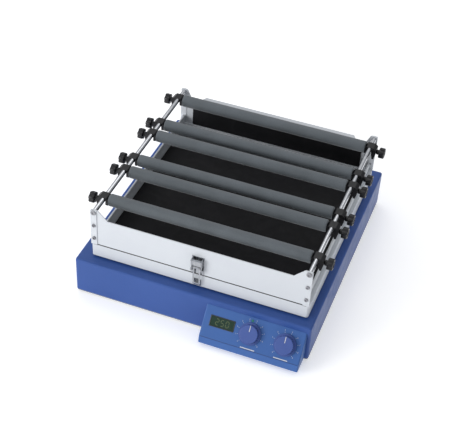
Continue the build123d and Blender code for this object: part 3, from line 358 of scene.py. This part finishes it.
def make_foam_group():
    """Skin of closed-cell foam: tiny cells, scattered pores and longer dents."""
    tree, given, result = start_group(
        "Foam cells",
        [("Vector", "NodeSocketVector", None), ("Fineness", "NodeSocketFloat", 1100.0)],
        [("Height", "NodeSocketFloat"), ("Pores", "NodeSocketFloat"), ("Cloud", "NodeSocketFloat")],
    )
    cells = add_node(tree, "ShaderNodeTexVoronoi", Vector=given["Vector"], Scale=given["Fineness"])
    dents = add_node(tree, "ShaderNodeTexNoise", Vector=given["Vector"], Scale=180.0, Detail=3.0)
    shallow = maths(tree, "MULTIPLY", cells.outputs["Distance"], 0.5)
    tree.links.new(maths(tree, "ADD", shallow, dents.outputs["Fac"]), result["Height"])
    sparse = maths(tree, "MULTIPLY", given["Fineness"], 0.4)
    holes = add_node(tree, "ShaderNodeTexVoronoi", Vector=given["Vector"], Scale=sparse)
    tree.links.new(spread(tree, holes.outputs["Distance"], 1, 0, 0.05, 0.28), result["Pores"])
    cloud = add_node(tree, "ShaderNodeTexNoise", Vector=given["Vector"], Scale=22.0, Detail=4.0)
    tree.links.new(spread(tree, cloud.outputs["Fac"], 0, 1, 0.32, 0.68), result["Cloud"])
    return tree


grain_group = make_grain_group()
edge_group = make_edge_group()
brush_group = make_brush_group()
foam_group = make_foam_group()


def start_material(name, stretch=(1, 1, 1)):
    """A material with its shader, and the object's own coordinates through a Mapping node."""
    material = bpy.data.materials.new(name)
    material.use_nodes = True
    tree = material.node_tree
    coordinates = tree.nodes.new("ShaderNodeTexCoord")
    mapping = add_node(tree, "ShaderNodeMapping", Vector=coordinates.outputs["Object"], Scale=stretch)
    return material, tree, tree.nodes["Principled BSDF"], mapping.outputs["Vector"]


def use_group(tree, group, **inputs):
    made = tree.nodes.new("ShaderNodeGroup")
    made.node_tree = group
    for label, value in inputs.items():
        feed(tree, made.inputs[label], value)
    return made.outputs


def bump(tree, shader, height, depth, normal, strength=0.5):
    bumped = add_node(tree, "ShaderNodeBump", Strength=strength, Distance=depth, Height=height, Normal=normal)
    tree.links.new(bumped.outputs["Normal"], shader.inputs["Normal"])


def painted(name, colour, deeper, bare, roughness, fineness=900.0, wear=0.35, specular=0.4):
    """Sprayed sheet metal: grain, soft changes of tone, smudges, and paint thinned on the edges."""
    material, tree, shader, vector = start_material(name)
    grain = use_group(tree, grain_group, Vector=vector, Fineness=fineness)
    edges = use_group(tree, edge_group, Vector=vector, Radius=0.0006)
    toned = mix_colours(tree, grain["Cloud"], (*colour, 1), (*deeper, 1))
    rubbed = maths(tree, "MULTIPLY", edges["Mask"], wear)
    tree.links.new(mix_colours(tree, rubbed, toned, (*bare, 1)), shader.inputs["Base Color"])
    tree.links.new(spread(tree, grain["Smudge"], roughness, roughness + 0.12), shader.inputs["Roughness"])
    shader.inputs["Specular IOR Level"].default_value = specular
    bump(tree, shader, grain["Height"], 0.00012, edges["Normal"])
    return material


def metal(name, colour, darker, roughness, stretch, fineness=60.0, depth=0.00004, wear=0.2):
    """Bare metal with fine lines along one direction and duller, handled patches."""
    material, tree, shader, vector = start_material(name, stretch)
    coordinates = tree.nodes.new("ShaderNodeTexCoord")
    lines = use_group(tree, brush_group, Vector=vector, Fineness=fineness)
    grain = use_group(tree, grain_group, Vector=coordinates.outputs["Object"], Fineness=700.0)
    edges = use_group(tree, edge_group, Vector=coordinates.outputs["Object"], Radius=0.0003)
    toned = mix_colours(tree, lines["Tone"], (*colour, 1), (*darker, 1))
    bright = tuple(min(1, part * 1.15) for part in colour)
    rubbed = maths(tree, "MULTIPLY", edges["Mask"], wear)
    tree.links.new(mix_colours(tree, rubbed, toned, (*bright, 1)), shader.inputs["Base Color"])
    shader.inputs["Metallic"].default_value = 1.0
    tree.links.new(spread(tree, grain["Smudge"], roughness, roughness + 0.14), shader.inputs["Roughness"])
    bump(tree, shader, lines["Height"], depth, edges["Normal"])
    return material


def moulded(name, colour, lighter, roughness, fineness=1200.0, depth=0.00008, wear=0.25, specular=0.5):
    """Moulded plastic or rubber: spark-grain texture, faint clouds, and rubbed edges painted lighter, partly
    wear and partly painted sheen.
    """
    material, tree, shader, vector = start_material(name)
    grain = use_group(tree, grain_group, Vector=vector, Fineness=fineness)
    edges = use_group(tree, edge_group, Vector=vector, Radius=0.0004)
    toned = mix_colours(tree, grain["Cloud"], (*colour, 1), (*lighter, 1))
    rubbed = maths(tree, "MULTIPLY", edges["Mask"], wear)
    # Lighter colour on the rubbed edges: partly wear, partly a painted highlight of polished edges
    rubbed_highlight = tuple(min(1, part * 1.6 + 0.01) for part in lighter)
    tree.links.new(mix_colours(tree, rubbed, toned, (*rubbed_highlight, 1)), shader.inputs["Base Color"])
    tree.links.new(spread(tree, grain["Smudge"], roughness, roughness + 0.15), shader.inputs["Roughness"])
    shader.inputs["Specular IOR Level"].default_value = specular
    bump(tree, shader, grain["Height"], depth, edges["Normal"])
    return material


def make_foam_finish():
    """Grey closed-cell foam with a dry, slightly dusty skin."""
    material, tree, shader, vector = start_material("foam_grey_finish")
    cells = use_group(tree, foam_group, Vector=vector, Fineness=1100.0)
    toned = mix_colours(tree, cells["Cloud"], (0.079, 0.093, 0.104, 1), (0.106, 0.122, 0.136, 1))
    pitted = mix_colours(tree, maths(tree, "MULTIPLY", cells["Pores"], 0.6), toned, (0.026, 0.033, 0.04, 1))
    tree.links.new(pitted, shader.inputs["Base Color"])
    tree.links.new(spread(tree, cells["Cloud"], 0.62, 0.8), shader.inputs["Roughness"])
    shader.inputs["Sheen Weight"].default_value = 0.25
    shader.inputs["Sheen Roughness"].default_value = 0.5
    bumped = add_node(tree, "ShaderNodeBump", Strength=0.6, Distance=0.00025, Height=cells["Height"])
    tree.links.new(bumped.outputs["Normal"], shader.inputs["Normal"])
    return material


def make_display_finish():
    """The dark green face of a liquid crystal display, under a dull pane."""
    material, tree, shader, vector = start_material("display_glass_finish")
    grain = use_group(tree, grain_group, Vector=vector, Fineness=1500.0)
    edges = use_group(tree, edge_group, Vector=vector, Radius=0.0003)
    toned = mix_colours(tree, grain["Cloud"], (0.014, 0.034, 0.024, 1), (0.020, 0.045, 0.032, 1))
    tree.links.new(toned, shader.inputs["Base Color"])
    tree.links.new(spread(tree, grain["Smudge"], 0.2, 0.34), shader.inputs["Roughness"])
    shader.inputs["Specular IOR Level"].default_value = 0.2
    bump(tree, shader, grain["Height"], 0.00001, edges["Normal"])
    return material


def make_lamp_finish():
    """The clear green lens of the status light, glowing a little."""
    material, tree, shader, vector = start_material("led_green_finish")
    grain = use_group(tree, grain_group, Vector=vector, Fineness=1400.0)
    edges = use_group(tree, edge_group, Vector=vector, Radius=0.0003)
    toned = mix_colours(tree, grain["Cloud"], (0.02, 0.15, 0.10, 1), (0.03, 0.21, 0.14, 1))
    tree.links.new(toned, shader.inputs["Base Color"])
    tree.links.new(toned, shader.inputs["Emission Color"])
    shader.inputs["Emission Strength"].default_value = 0.05
    tree.links.new(spread(tree, grain["Smudge"], 0.2, 0.35), shader.inputs["Roughness"])
    bump(tree, shader, grain["Height"], 0.00001, edges["Normal"])
    return material


def make_mat_finish():
    """Black rubber sheet with fine parallel ribs and a little dust."""
    material, tree, shader, vector = start_material("mat_rubber_finish")
    grain = use_group(tree, grain_group, Vector=vector, Fineness=500.0)
    edges = use_group(tree, edge_group, Vector=vector, Radius=0.0005)
    along = {"bands_direction": "Y"}
    ribs = add_node(tree, "ShaderNodeTexWave", along, Vector=vector, Scale=95.0, Distortion=0.2)
    toned = mix_colours(tree, grain["Cloud"], (0.006, 0.006, 0.007, 1), (0.010, 0.010, 0.012, 1))
    dusted = mix_colours(tree, maths(tree, "MULTIPLY", grain["Smudge"], 0.3), toned, (0.022, 0.022, 0.024, 1))
    tree.links.new(dusted, shader.inputs["Base Color"])
    tree.links.new(spread(tree, grain["Cloud"], 0.6, 0.78), shader.inputs["Roughness"])
    shader.inputs["Specular IOR Level"].default_value = 0.2
    relief = maths(tree, "ADD", ribs.outputs["Fac"], maths(tree, "MULTIPLY", grain["Height"], 0.4))
    bump(tree, shader, relief, 0.0003, edges["Normal"])
    return material


# Finishes by the record's material slots
HOUSING = ((0.037, 0.089, 0.304), (0.031, 0.079, 0.276), (0.09, 0.16, 0.39))
PANEL = ((0.046, 0.126, 0.364), (0.040, 0.113, 0.335), (0.10, 0.18, 0.43))
DIAL = ((0.050, 0.091, 0.300), (0.057, 0.101, 0.322))
WHITE = ((0.615, 0.640, 0.670), (0.580, 0.605, 0.640), (0.46, 0.48, 0.50))
MOTOR = ((0.05, 0.052, 0.056), (0.035, 0.037, 0.04), (0.25, 0.25, 0.26))
finishes = {
    "blue_housing": painted("blue_housing_finish", *HOUSING, 0.36, 800.0, specular=0.25),
    "blue_panel": painted("blue_panel_finish", *PANEL, 0.38, 1000.0, specular=0.3),
    "blue_dial": moulded("blue_dial_finish", *DIAL, 0.36, 1300.0, specular=0.35),
    "tray_white": painted("tray_white_finish", *WHITE, 0.40, 1100.0, 0.3),
    "plate_steel": metal("plate_steel_finish", (0.42, 0.43, 0.45), (0.33, 0.34, 0.36), 0.42, (1, 14, 1)),
    "shaft_steel": metal("shaft_steel_finish", (0.62, 0.63, 0.65), (0.52, 0.53, 0.55), 0.2, (22, 1, 22)),
    "rod_chrome": metal("rod_chrome_finish", (0.66, 0.67, 0.69), (0.52, 0.53, 0.56), 0.06, (1, 30, 1),
                        40.0, 1e-5),
    "screw_steel": metal("screw_steel_finish", (0.36, 0.36, 0.38), (0.22, 0.22, 0.24), 0.3, (1, 1, 1), 400.0),
    "latch_steel": metal("latch_steel_finish", (0.46, 0.47, 0.49), (0.32, 0.33, 0.35), 0.16, (24, 1, 1)),
    "cast_alloy": metal("cast_alloy_finish", (0.55, 0.56, 0.57), (0.46, 0.47, 0.48), 0.45, (1, 1, 1),
                        500.0, 1e-4),
    "mat_rubber": make_mat_finish(),
    "foot_rubber": moulded("foot_rubber_finish", (0.016, 0.016, 0.018), (0.024, 0.024, 0.027), 0.62, 900.0),
    "belt_rubber": moulded("belt_rubber_finish", (0.013, 0.013, 0.014), (0.02, 0.02, 0.022), 0.58, 700.0),
    "foam_grey": make_foam_finish(),
    "clamp_black": moulded("clamp_black_finish", (0.006, 0.006, 0.007), (0.01, 0.01, 0.012), 0.30, 1400.0,
                           wear=0.15, specular=0.3),
    "knob_black": moulded("knob_black_finish", (0.006, 0.006, 0.007), (0.01, 0.01, 0.012), 0.26, 1500.0,
                          wear=0.15, specular=0.35),
    "display_glass": make_display_finish(),
    "led_green": make_lamp_finish(),
    "board_green": moulded("board_green_finish", (0.02, 0.11, 0.045), (0.03, 0.16, 0.06), 0.4, 500.0),
    "inlet_black": moulded("inlet_black_finish", (0.014, 0.014, 0.016), (0.022, 0.022, 0.025), 0.4, 1300.0),
    "rocker_black": moulded("rocker_black_finish", (0.013, 0.013, 0.015), (0.024, 0.024, 0.027), 0.28),
    "motor_case": painted("motor_case_finish", *MOTOR, 0.4, 700.0),
}
print_finish = moulded("print_white_finish", (0.66, 0.67, 0.70), (0.58, 0.59, 0.63), 0.5, 1800.0, 2e-5)
digit_finish = moulded("display_digit_finish", (0.075, 0.105, 0.045), (0.09, 0.125, 0.05), 0.4, 1800.0, 1e-5)
joint_finish = moulded("panel_joint_finish", (0.010, 0.020, 0.085), (0.014, 0.028, 0.11), 0.5, 1500.0, 2e-5)
bezel_finish = moulded("display_bezel_finish", (0.012, 0.016, 0.016), (0.018, 0.022, 0.02), 0.35, 1500.0)


def dress_solids():
    """Gives each carried-over solid the finish of its own slot."""
    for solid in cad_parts.values():
        for held in solid.material_slots:
            held.material = finishes[held.material.name.split(".")[0]]


# Modelling helpers

def choose(kind, wanted):
    """In edit mode, selects the faces, edges or vertices that pass the test, and nothing else."""
    bpy.ops.mesh.select_mode(type=kind)
    bpy.ops.mesh.select_all(action="DESELECT")
    mesh = bmesh.from_edit_mesh(bpy.context.edit_object.data)
    parts = {"FACE": mesh.faces, "EDGE": mesh.edges, "VERT": mesh.verts}[kind]
    for part in parts:
        if wanted(part):
            part.select_set(True)
    mesh.select_flush_mode()
    bmesh.update_edit_mesh(bpy.context.edit_object.data)


def edge_middle(edge):
    return (edge.verts[0].co + edge.verts[1].co) / 2


def begin(name):
    """Names the new primitive and enters edit mode with its place in its mesh."""
    piece = bpy.context.object
    piece.name = name
    bpy.ops.object.transform_apply(location=True, rotation=True, scale=True)
    bpy.ops.object.mode_set(mode="EDIT")
    return piece


def end(piece, finish, body, angle=40):
    """Shades the piece, and gives it its finish and its body."""
    clear_selection()
    piece.select_set(True)
    bpy.context.view_layer.objects.active = piece
    bpy.ops.object.shade_smooth_by_angle(angle=math.radians(angle))
    piece.data.materials.clear()
    piece.data.materials.append(finish)
    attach(piece, body)
    return piece


def finish_modifier(piece, kind, **settings):
    modifier = piece.modifiers.new(kind.lower(), kind)
    for label, value in settings.items():
        setattr(modifier, label, value)
    bpy.ops.object.modifier_apply(modifier=modifier.name)


def clear_selection():
    if bpy.context.mode != "OBJECT":
        bpy.ops.object.mode_set(mode="OBJECT")
    bpy.ops.object.select_all(action="DESELECT")


def start_block(name, low, high):
    """A block between two corners, open for shaping."""
    clear_selection()
    low, high = Vector(low), Vector(high)
    bpy.ops.mesh.primitive_cube_add(size=1, location=(low + high) / 2, scale=high - low)
    return begin(name)


def add_block(middle, size):
    """In edit mode, adds a block to the open mesh."""
    bpy.ops.mesh.primitive_cube_add(size=1, location=middle, scale=size)


def is_along(edge, axis):
    """True for a straight edge along one axis."""
    step = edge.verts[1].co - edge.verts[0].co
    return abs(step[axis]) > 0.99 * step.length


def bevel_where(wanted, width, segments=2):
    choose("EDGE", wanted)
    bpy.ops.mesh.bevel(offset=width, segments=segments, affect="EDGES")


def copy_piece(piece, name, matrix):
    """A copy with a mesh of its own, carried to another place."""
    twin = piece.copy()
    twin.data = piece.data.copy()
    twin.name = name
    twin.data.transform(matrix)
    if matrix.determinant() < 0:
        twin.data.flip_normals()
    bpy.context.collection.objects.link(twin)
    return twin


def leave_edit():
    """Faces the mesh outwards, back in object mode."""
    bpy.ops.mesh.select_all(action="SELECT")
    bpy.ops.mesh.normals_make_consistent(inside=False)
    bpy.ops.object.mode_set(mode="OBJECT")


HALF_TURN = (
    Matrix.Translation((PLATFORM_X, PLATFORM_MIDDLE_Y, 0))
    @ Matrix.Rotation(math.pi, 4, "Z")
    @ Matrix.Translation((-PLATFORM_X, -PLATFORM_MIDDLE_Y, 0))
)
MIRROR = Matrix.Translation((2 * PLATFORM_X, 0, 0)) @ Matrix.Scale(-1, 4, (1, 0, 0))


# Rollers

def model_foam_sleeve():
    """A foam tube with softly rounded ends, slightly uneven along its length."""
    low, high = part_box("foam_sleeve_1")
    middle = (low + high) / 2
    radius = (high.z - low.z) / 2
    clear_selection()
    bpy.ops.mesh.primitive_cylinder_add(
        vertices=40, radius=radius, depth=high.x - low.x, end_fill_type="NOTHING",
        location=middle, rotation=(0, math.pi / 2, 0),
    )
    sleeve = begin("foam_roller_1")
    choose("EDGE", lambda edge: abs(edge.verts[0].co.x - edge.verts[1].co.x) > radius)
    bpy.ops.mesh.subdivide(number_cuts=FOAM_RINGS)
    for at_x in (low.x, high.x):
        choose("EDGE", lambda edge: edge.is_boundary and abs(edge_middle(edge).x - at_x) < NEAR)
        bpy.ops.mesh.extrude_region_move()
        share = FOAM_BORE / radius
        centre = (at_x, middle.y, middle.z)
        bpy.ops.transform.resize(value=(1, share, share), center_override=centre)
        inward = FOAM_COLLAR if at_x == low.x else -FOAM_COLLAR
        bpy.ops.mesh.extrude_region_move(TRANSFORM_OT_translate={"value": (inward, 0, 0)})
    choose("EDGE", lambda edge: edge.is_boundary)
    bpy.ops.mesh.bridge_edge_loops()
    bevel_where(lambda edge: is_end_ring(edge, low.x, high.x, middle, radius), FOAM_END_BEVEL, 4)
    leave_edit()
    dents = bpy.data.textures.new("foam_dents", "CLOUDS")
    dents.noise_scale = FOAM_DENT_SIZE
    finish_modifier(
        sleeve, "DISPLACE", texture=dents, strength=FOAM_DENT_DEPTH, mid_level=0.75, texture_coords="GLOBAL"
    )
    return sleeve


def is_end_ring(edge, low_x, high_x, middle, radius):
    """True for the outer edge of a tube's end."""
    here = edge_middle(edge)
    at_end = abs(here.x - low_x) < NEAR or abs(here.x - high_x) < NEAR
    reaches = [math.hypot(v.co.y - middle.y, v.co.z - middle.z) for v in edge.verts]
    return at_end and min(reaches) > radius * 0.97 and abs(reaches[0] - reaches[1]) < NEAR


def place_foam_sleeves():
    first = model_foam_sleeve()
    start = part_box("foam_sleeve_1")[0]
    sleeves = [first]
    for index in range(2, ROLLER_COUNT + 1):
        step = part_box(f"foam_sleeve_{index}")[0] - start
        sleeves.append(copy_piece(first, f"foam_roller_{index}", Matrix.Translation(step)))
    for index, sleeve in enumerate(sleeves, 1):
        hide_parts(f"foam_sleeve_{index}")
        end(sleeve, finishes["foam_grey"], f"roller_{index}")


def model_knob():
    """A six-lobed knob with a dished face, on its neck and screw."""
    low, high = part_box("right_knob_1")
    axis = Vector((0, (low.y + high.y) / 2, (low.z + high.z) / 2))
    radius = (high.z - low.z) / 2
    head_start = high.x - KNOB_THICKNESS
    clear_selection()
    bpy.ops.mesh.primitive_cylinder_add(
        vertices=48, radius=radius, depth=KNOB_THICKNESS,
        location=(head_start + KNOB_THICKNESS / 2, axis.y, axis.z), rotation=(0, math.pi / 2, 0),
    )
    knob = begin("clamp_knob_right_1")

    def turn_from_scallop(vertex):
        turn = math.degrees(math.atan2(vertex.co.z - axis.z, vertex.co.y - axis.y))
        return abs((turn + KNOB_LOBE_PITCH / 2) % KNOB_LOBE_PITCH - KNOB_LOBE_PITCH / 2)

    for turn, share in KNOB_SCALLOP.items():
        choose("VERT", lambda vertex: abs(turn_from_scallop(vertex) - turn) < 2)
        centre = (head_start, axis.y, axis.z)
        bpy.ops.transform.resize(value=(1, share, share), center_override=centre)
    choose("FACE", lambda face: face.normal.x > 0.9)
    bpy.ops.mesh.inset(thickness=KNOB_FACE_BORDER)
    bpy.ops.mesh.inset(thickness=KNOB_DISH_RAMP, depth=-KNOB_DISH_DEPTH)
    bevel_where(lambda edge: is_rim(edge, axis, KNOB_RIM_SHARE * radius), KNOB_RIM_BEVEL, 3)
    neck_low = head_start - KNOB_NECK_LENGTH
    bpy.ops.mesh.primitive_cylinder_add(
        vertices=24, radius=KNOB_NECK_RADIUS, depth=KNOB_NECK_LENGTH + KNOB_NECK_SUNK,
        location=((neck_low + head_start + KNOB_NECK_SUNK) / 2, axis.y, axis.z), rotation=(0, math.pi / 2, 0),
    )
    bevel_where(lambda edge: abs(edge_middle(edge).x - neck_low) < NEAR, KNOB_NECK_BEVEL)
    bpy.ops.mesh.primitive_cylinder_add(
        vertices=16, radius=KNOB_SCREW_RADIUS, depth=head_start - low.x,
        location=((low.x + head_start) / 2, axis.y, axis.z), rotation=(0, math.pi / 2, 0),
    )
    bevel_where(lambda edge: abs(edge_middle(edge).x - low.x) < NEAR, KNOB_SCREW_BEVEL)
    leave_edit()
    return knob


def is_rim(edge, axis, reach):
    """True for the edges that run round the outside of a knob's two faces."""
    ring = abs(edge.verts[0].co.x - edge.verts[1].co.x) < NEAR
    return ring and all(math.hypot(v.co.y - axis.y, v.co.z - axis.z) > reach for v in edge.verts)


def place_knobs():
    first = model_knob()
    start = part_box("right_knob_1")[0]
    for index in range(1, ROLLER_COUNT + 1):
        step = Matrix.Translation((0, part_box(f"right_knob_{index}")[0].y - start.y, 0))
        right = first if index == 1 else copy_piece(first, f"clamp_knob_right_{index}", step)
        left = copy_piece(first, f"clamp_knob_left_{index}", MIRROR @ step)
        for side, knob in (("right", right), ("left", left)):
            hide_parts(f"{side}_knob_{index}")
            end(knob, finishes["knob_black"], f"{side}_clamp_knob_{index}")


# Tray linings, and the dark seal with tails of painted shadow

def model_sheet(name, low, high, axis, corner, segments, edge_bevel, border, ramp, sunk):
    """A rubber sheet that faces one axis, with rounded corners and a sunk middle inside a border."""
    sheet = start_block(name, low, high)
    bevel_where(lambda edge: is_along(edge, axis), corner, segments)
    near_face = low[axis] + 0.9 * (high[axis] - low[axis])
    bevel_where(lambda edge: edge_middle(edge)[axis] > near_face, edge_bevel, 2)
    choose("FACE", lambda face: face.normal[axis] > 0.99)
    bpy.ops.mesh.inset(thickness=border)
    bpy.ops.mesh.inset(thickness=ramp, depth=-sunk)
    leave_edit()
    return sheet


def place_linings():
    """The ribbed mat on the tray's floor, and a liner inside each end plate."""
    low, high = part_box("tray_mat")
    mat = model_sheet(
        "floor_mat",
        (low.x, low.y + MAT_SETBACK, low.z),
        (high.x, high.y - MAT_SETBACK, low.z + MAT_THICKNESS),
        axis=2,
        **MAT_SHAPE,
    )
    liner = model_sheet(
        "front_liner",
        (PLATFORM_X - LINER_HALF, low.y, RIM_TOP),
        (PLATFORM_X + LINER_HALF, low.y + LINER_THICKNESS, high.z),
        axis=1,
        **LINER_SHAPE,
    )
    for piece in (mat, liner, copy_piece(liner, "back_liner", HALF_TURN)):
        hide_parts("tray_mat")
        end(piece, finishes["mat_rubber"], "platform", 20)


def place_seals():
    """The thin dark seal between each end plate and the tray's rim, with a tail of painted shadow under each
    end strip: dark rubber where the strip's lower edge casts its shade.
    """
    seal = start_block(
        "front_seal",
        (PLATFORM_X - SEAL_HALF, TRAY_FRONT - SEAL_STAND, RIM_TOP - SEAL_HEIGHT / 2),
        (PLATFORM_X + SEAL_HALF, TRAY_FRONT + SEAL_STAND, RIM_TOP + SEAL_HEIGHT / 2),
    )
    # Tails of painted shadow: dark rubber set under each end strip's lower edge, where its shade falls
    for side in (-1, 1):
        shadow_tail_x = PLATFORM_X + side * (SEAL_HALF + SHADOW_TAIL_END) / 2
        add_block(
            (shadow_tail_x, TRAY_FRONT - SHADOW_TAIL_STAND / 2, RIM_TOP - SEAL_HEIGHT / 4),
            (SHADOW_TAIL_END - SEAL_HALF, SHADOW_TAIL_STAND, SEAL_HEIGHT / 2),
        )
    bevel_where(lambda edge: is_along(edge, 0), SEAL_BEVEL, 2)
    choose("FACE", lambda face: abs(face.normal.x) > 0.99)
    bpy.ops.mesh.inset(thickness=SEAL_END_STEP, depth=-SEAL_END_STEP)
    leave_edit()
    for piece in (seal, copy_piece(seal, "back_seal", HALF_TURN)):
        end(piece, finishes["foot_rubber"], "platform")


# Control panel details, each drawn flat and then laid on the slope

def slope_matrix(place=(0, 0)):
    """The frame of the panel's slope: X to the right, Y up the slope and Z out of it."""
    origin = SLOPE_TOP + Vector((place[0], 0, 0)) + SLOPE_DOWN * place[1]
    turn = Matrix((Vector((1, 0, 0)), -SLOPE_DOWN, SLOPE_OUT)).transposed()
    return Matrix.Translation(origin) @ turn.to_4x4()


def lay_on_slope(piece, place):
    piece.data.transform(slope_matrix(place))
    return piece


def start_print(name, blocks):
    """A piece of flat printed blocks, each given by its place, size and turn, open for shaping."""
    clear_selection()
    for number, (x, y, size, turn) in enumerate(blocks):
        bpy.ops.mesh.primitive_cube_add(
            size=1, location=(x, y, PRINT_HEIGHT / 2), rotation=(0, 0, turn), scale=(*size, PRINT_HEIGHT)
        )
        if number == 0:
            piece = begin(name)
    return piece


def place_bezel():
    """A raised dark frame round the display window."""
    half_x, half_y = (size / 2 + BEZEL_WIDTH - BEZEL_LAP for size in DISPLAY_SIZE)
    bezel = start_block("display_bezel", (-half_x, -half_y, 0), (half_x, half_y, BEZEL_HEIGHT))
    choose("FACE", lambda face: face.normal.z > 0.99)
    bpy.ops.mesh.inset(thickness=BEZEL_WIDTH)
    bpy.ops.mesh.extrude_region_move(TRANSFORM_OT_translate={"value": (0, 0, BEZEL_SEAT - BEZEL_HEIGHT)})
    choose("FACE", lambda face: abs(face.normal.z) > 0.99 and face.calc_center_median().z < 2 * BEZEL_SEAT)
    bpy.ops.mesh.delete(type="FACE")
    choose("EDGE", lambda edge: edge.is_boundary)
    bpy.ops.mesh.bridge_edge_loops()
    bevel_where(lambda edge: edge_middle(edge).z > 0.9 * BEZEL_HEIGHT, BEZEL_BEVEL, 2)
    leave_edit()
    end(lay_on_slope(bezel, DISPLAY_PLACE), bezel_finish, "base")


def place_panel_joint():
    """The dark joint between the panel's sloped cover and its lip."""
    half_x, half_y = JOINT_SIZE[0] / 2, JOINT_SIZE[1] / 2
    joint = start_block("panel_joint", (-half_x, -half_y, 0), (half_x, half_y, PRINT_HEIGHT))
    bevel_where(lambda edge: is_along(edge, 2), JOINT_BEVEL, 2)
    leave_edit()
    end(lay_on_slope(joint, JOINT_PLACE), joint_finish, "base")


def segment_blocks(digit):
    """The centre and size of each lit bar of one seven-bar digit."""
    half_x, half_y = DIGIT_WIDTH / 2, DIGIT_HEIGHT / 4
    flat = (DIGIT_WIDTH - DIGIT_STROKE, DIGIT_STROKE)
    upright = (DIGIT_STROKE, DIGIT_HEIGHT / 2 - DIGIT_STROKE)
    bars = {
        "top": ((0, 2 * half_y), flat), "middle": ((0, 0), flat), "bottom": ((0, -2 * half_y), flat),
        "upper_left": ((-half_x, half_y), upright), "upper_right": ((half_x, half_y), upright),
        "lower_left": ((-half_x, -half_y), upright), "lower_right": ((half_x, -half_y), upright),
    }
    return [bars[bar] for bar in LIT_BARS[digit]]


def place_digits():
    """The figures that the display shows."""
    first_x = -DIGIT_PITCH * (len(SHOWN_DIGITS) - 1) / 2
    blocks = [
        (first_x + place * DIGIT_PITCH + x, y, size, 0.0)
        for place, digit in enumerate(SHOWN_DIGITS)
        for (x, y), size in segment_blocks(digit)
    ]
    digits = start_print("display_digits", blocks)
    bevel_where(lambda edge: is_along(edge, 2), DIGIT_BEVEL, 1)
    leave_edit()
    end(lay_on_slope(digits, DISPLAY_PLACE), digit_finish, "base")


def model_number(number, x, y):
    """A plain printed number, centred on a place."""
    bpy.ops.object.text_add(location=(0, 0, 0))
    text = bpy.context.object
    text.data.body = str(number)
    text.data.size = NUMBER_SIZE
    text.data.extrude = PRINT_HEIGHT / 2
    text.data.align_x = "CENTER"
    text.data.align_y = "CENTER"
    bpy.ops.object.convert(target="MESH")
    printed = bpy.context.object
    printed.data.transform(Matrix.Translation((x, y, PRINT_HEIGHT / 2)))
    return printed


def place_scale(dial):
    """Marks, plain numbers and a label bar round one dial."""
    turns = [SCALE_TURN * (step / (SCALE_MARKS - 1) - 0.5) for step in range(SCALE_MARKS)]
    clear_selection()
    numbers = [
        model_number(step, NUMBER_RADIUS * math.sin(turn), NUMBER_RADIUS * math.cos(turn))
        for step, turn in enumerate(turns)
    ]
    blocks = [
        (SCALE_RADIUS * math.sin(turn), SCALE_RADIUS * math.cos(turn), SCALE_MARK_SIZE, -turn)
        for turn in turns
    ]
    left, right = LABEL_BARS[dial]
    x, down = DIAL_PLACES[dial]
    blocks.append(((left + right) / 2 - x, down - LABEL_DOWN, (right - left, LABEL_HEIGHT), 0.0))
    scale = start_print(f"{dial}_scale", blocks)
    bevel_where(lambda edge: is_along(edge, 2), PRINT_BEVEL, 2)
    leave_edit()
    for number in numbers:
        number.select_set(True)
    bpy.ops.object.join()
    end(lay_on_slope(scale, DIAL_PLACES[dial]), print_finish, "base")


def place_index(dial):
    """The index line in the face of one dial."""
    half_x, half_y = INDEX_SIZE[0] / 2, INDEX_SIZE[1] / 2
    top = DIAL_HEIGHT - INDEX_SUNK
    index = start_block(
        f"{dial}_index",
        (-half_x, INDEX_MIDDLE - half_y, top - INDEX_DEPTH),
        (half_x, INDEX_MIDDLE + half_y, top),
    )
    bevel_where(lambda edge: is_along(edge, 2), INDEX_BEVEL, 2)
    leave_edit()
    end(lay_on_slope(index, DIAL_PLACES[dial]), print_finish, f"{dial}_dial")


# Latch rivets

def place_rivets():
    """Domed rivets in the latches' base plates and catches."""
    clear_selection()
    front = TRAY_FRONT - LATCH_PLATE_THICKNESS
    bpy.ops.mesh.primitive_cylinder_add(
        vertices=20, radius=RIVET_RADIUS, depth=RIVET_HEIGHT,
        location=(PLATFORM_X, front - RIVET_HEIGHT / 2, 0), rotation=(math.pi / 2, 0, 0),
    )
    rivet = begin("latch_rivet_front_1")
    crown = front - RIVET_HEIGHT
    bevel_where(lambda edge: abs(edge_middle(edge).y - crown) < NEAR, RIVET_DOME, 4)
    leave_edit()
    rivets = [copy_piece(rivet, f"latch_rivet_front_{number}", Matrix.Translation((x, 0, z)))
              for number, (x, z) in enumerate(RIVET_PLACES[1:], 2)]
    x, z = RIVET_PLACES[0]
    rivet.data.transform(Matrix.Translation((x, 0, z)))
    rivets.insert(0, rivet)
    backs = [copy_piece(piece, piece.name.replace("front", "back"), HALF_TURN) for piece in rivets]
    for piece in rivets + backs:
        end(piece, finishes["latch_steel"], "platform")


# Mains inlet pins

def place_inlet_pins():
    """Bright blades over the inlet's three pins."""
    half_x, half_z = INLET_PIN_SIZE[0] / 2, INLET_PIN_SIZE[1] / 2
    for number, (x, z) in enumerate(INLET_PINS, 1):
        pin = start_block(
            f"inlet_blade_{number}",
            (BASE_X + x - half_x, INLET_PIN_SPAN[0], z - half_z),
            (BASE_X + x + half_x, INLET_PIN_SPAN[1], z + half_z),
        )
        bevel_where(lambda edge: edge_middle(edge).y > INLET_PIN_SPAN[1] - NEAR, INLET_PIN_BEVEL, 2)
        leave_edit()
        end(pin, finishes["shaft_steel"], "base")


place_foam_sleeves()
place_knobs()
place_linings()
place_seals()
place_bezel()
place_panel_joint()
place_digits()
for dial in DIAL_PLACES:
    place_scale(dial)
    place_index(dial)
place_rivets()
place_inlet_pins()

dress_solids()
make_camera()
make_studio()
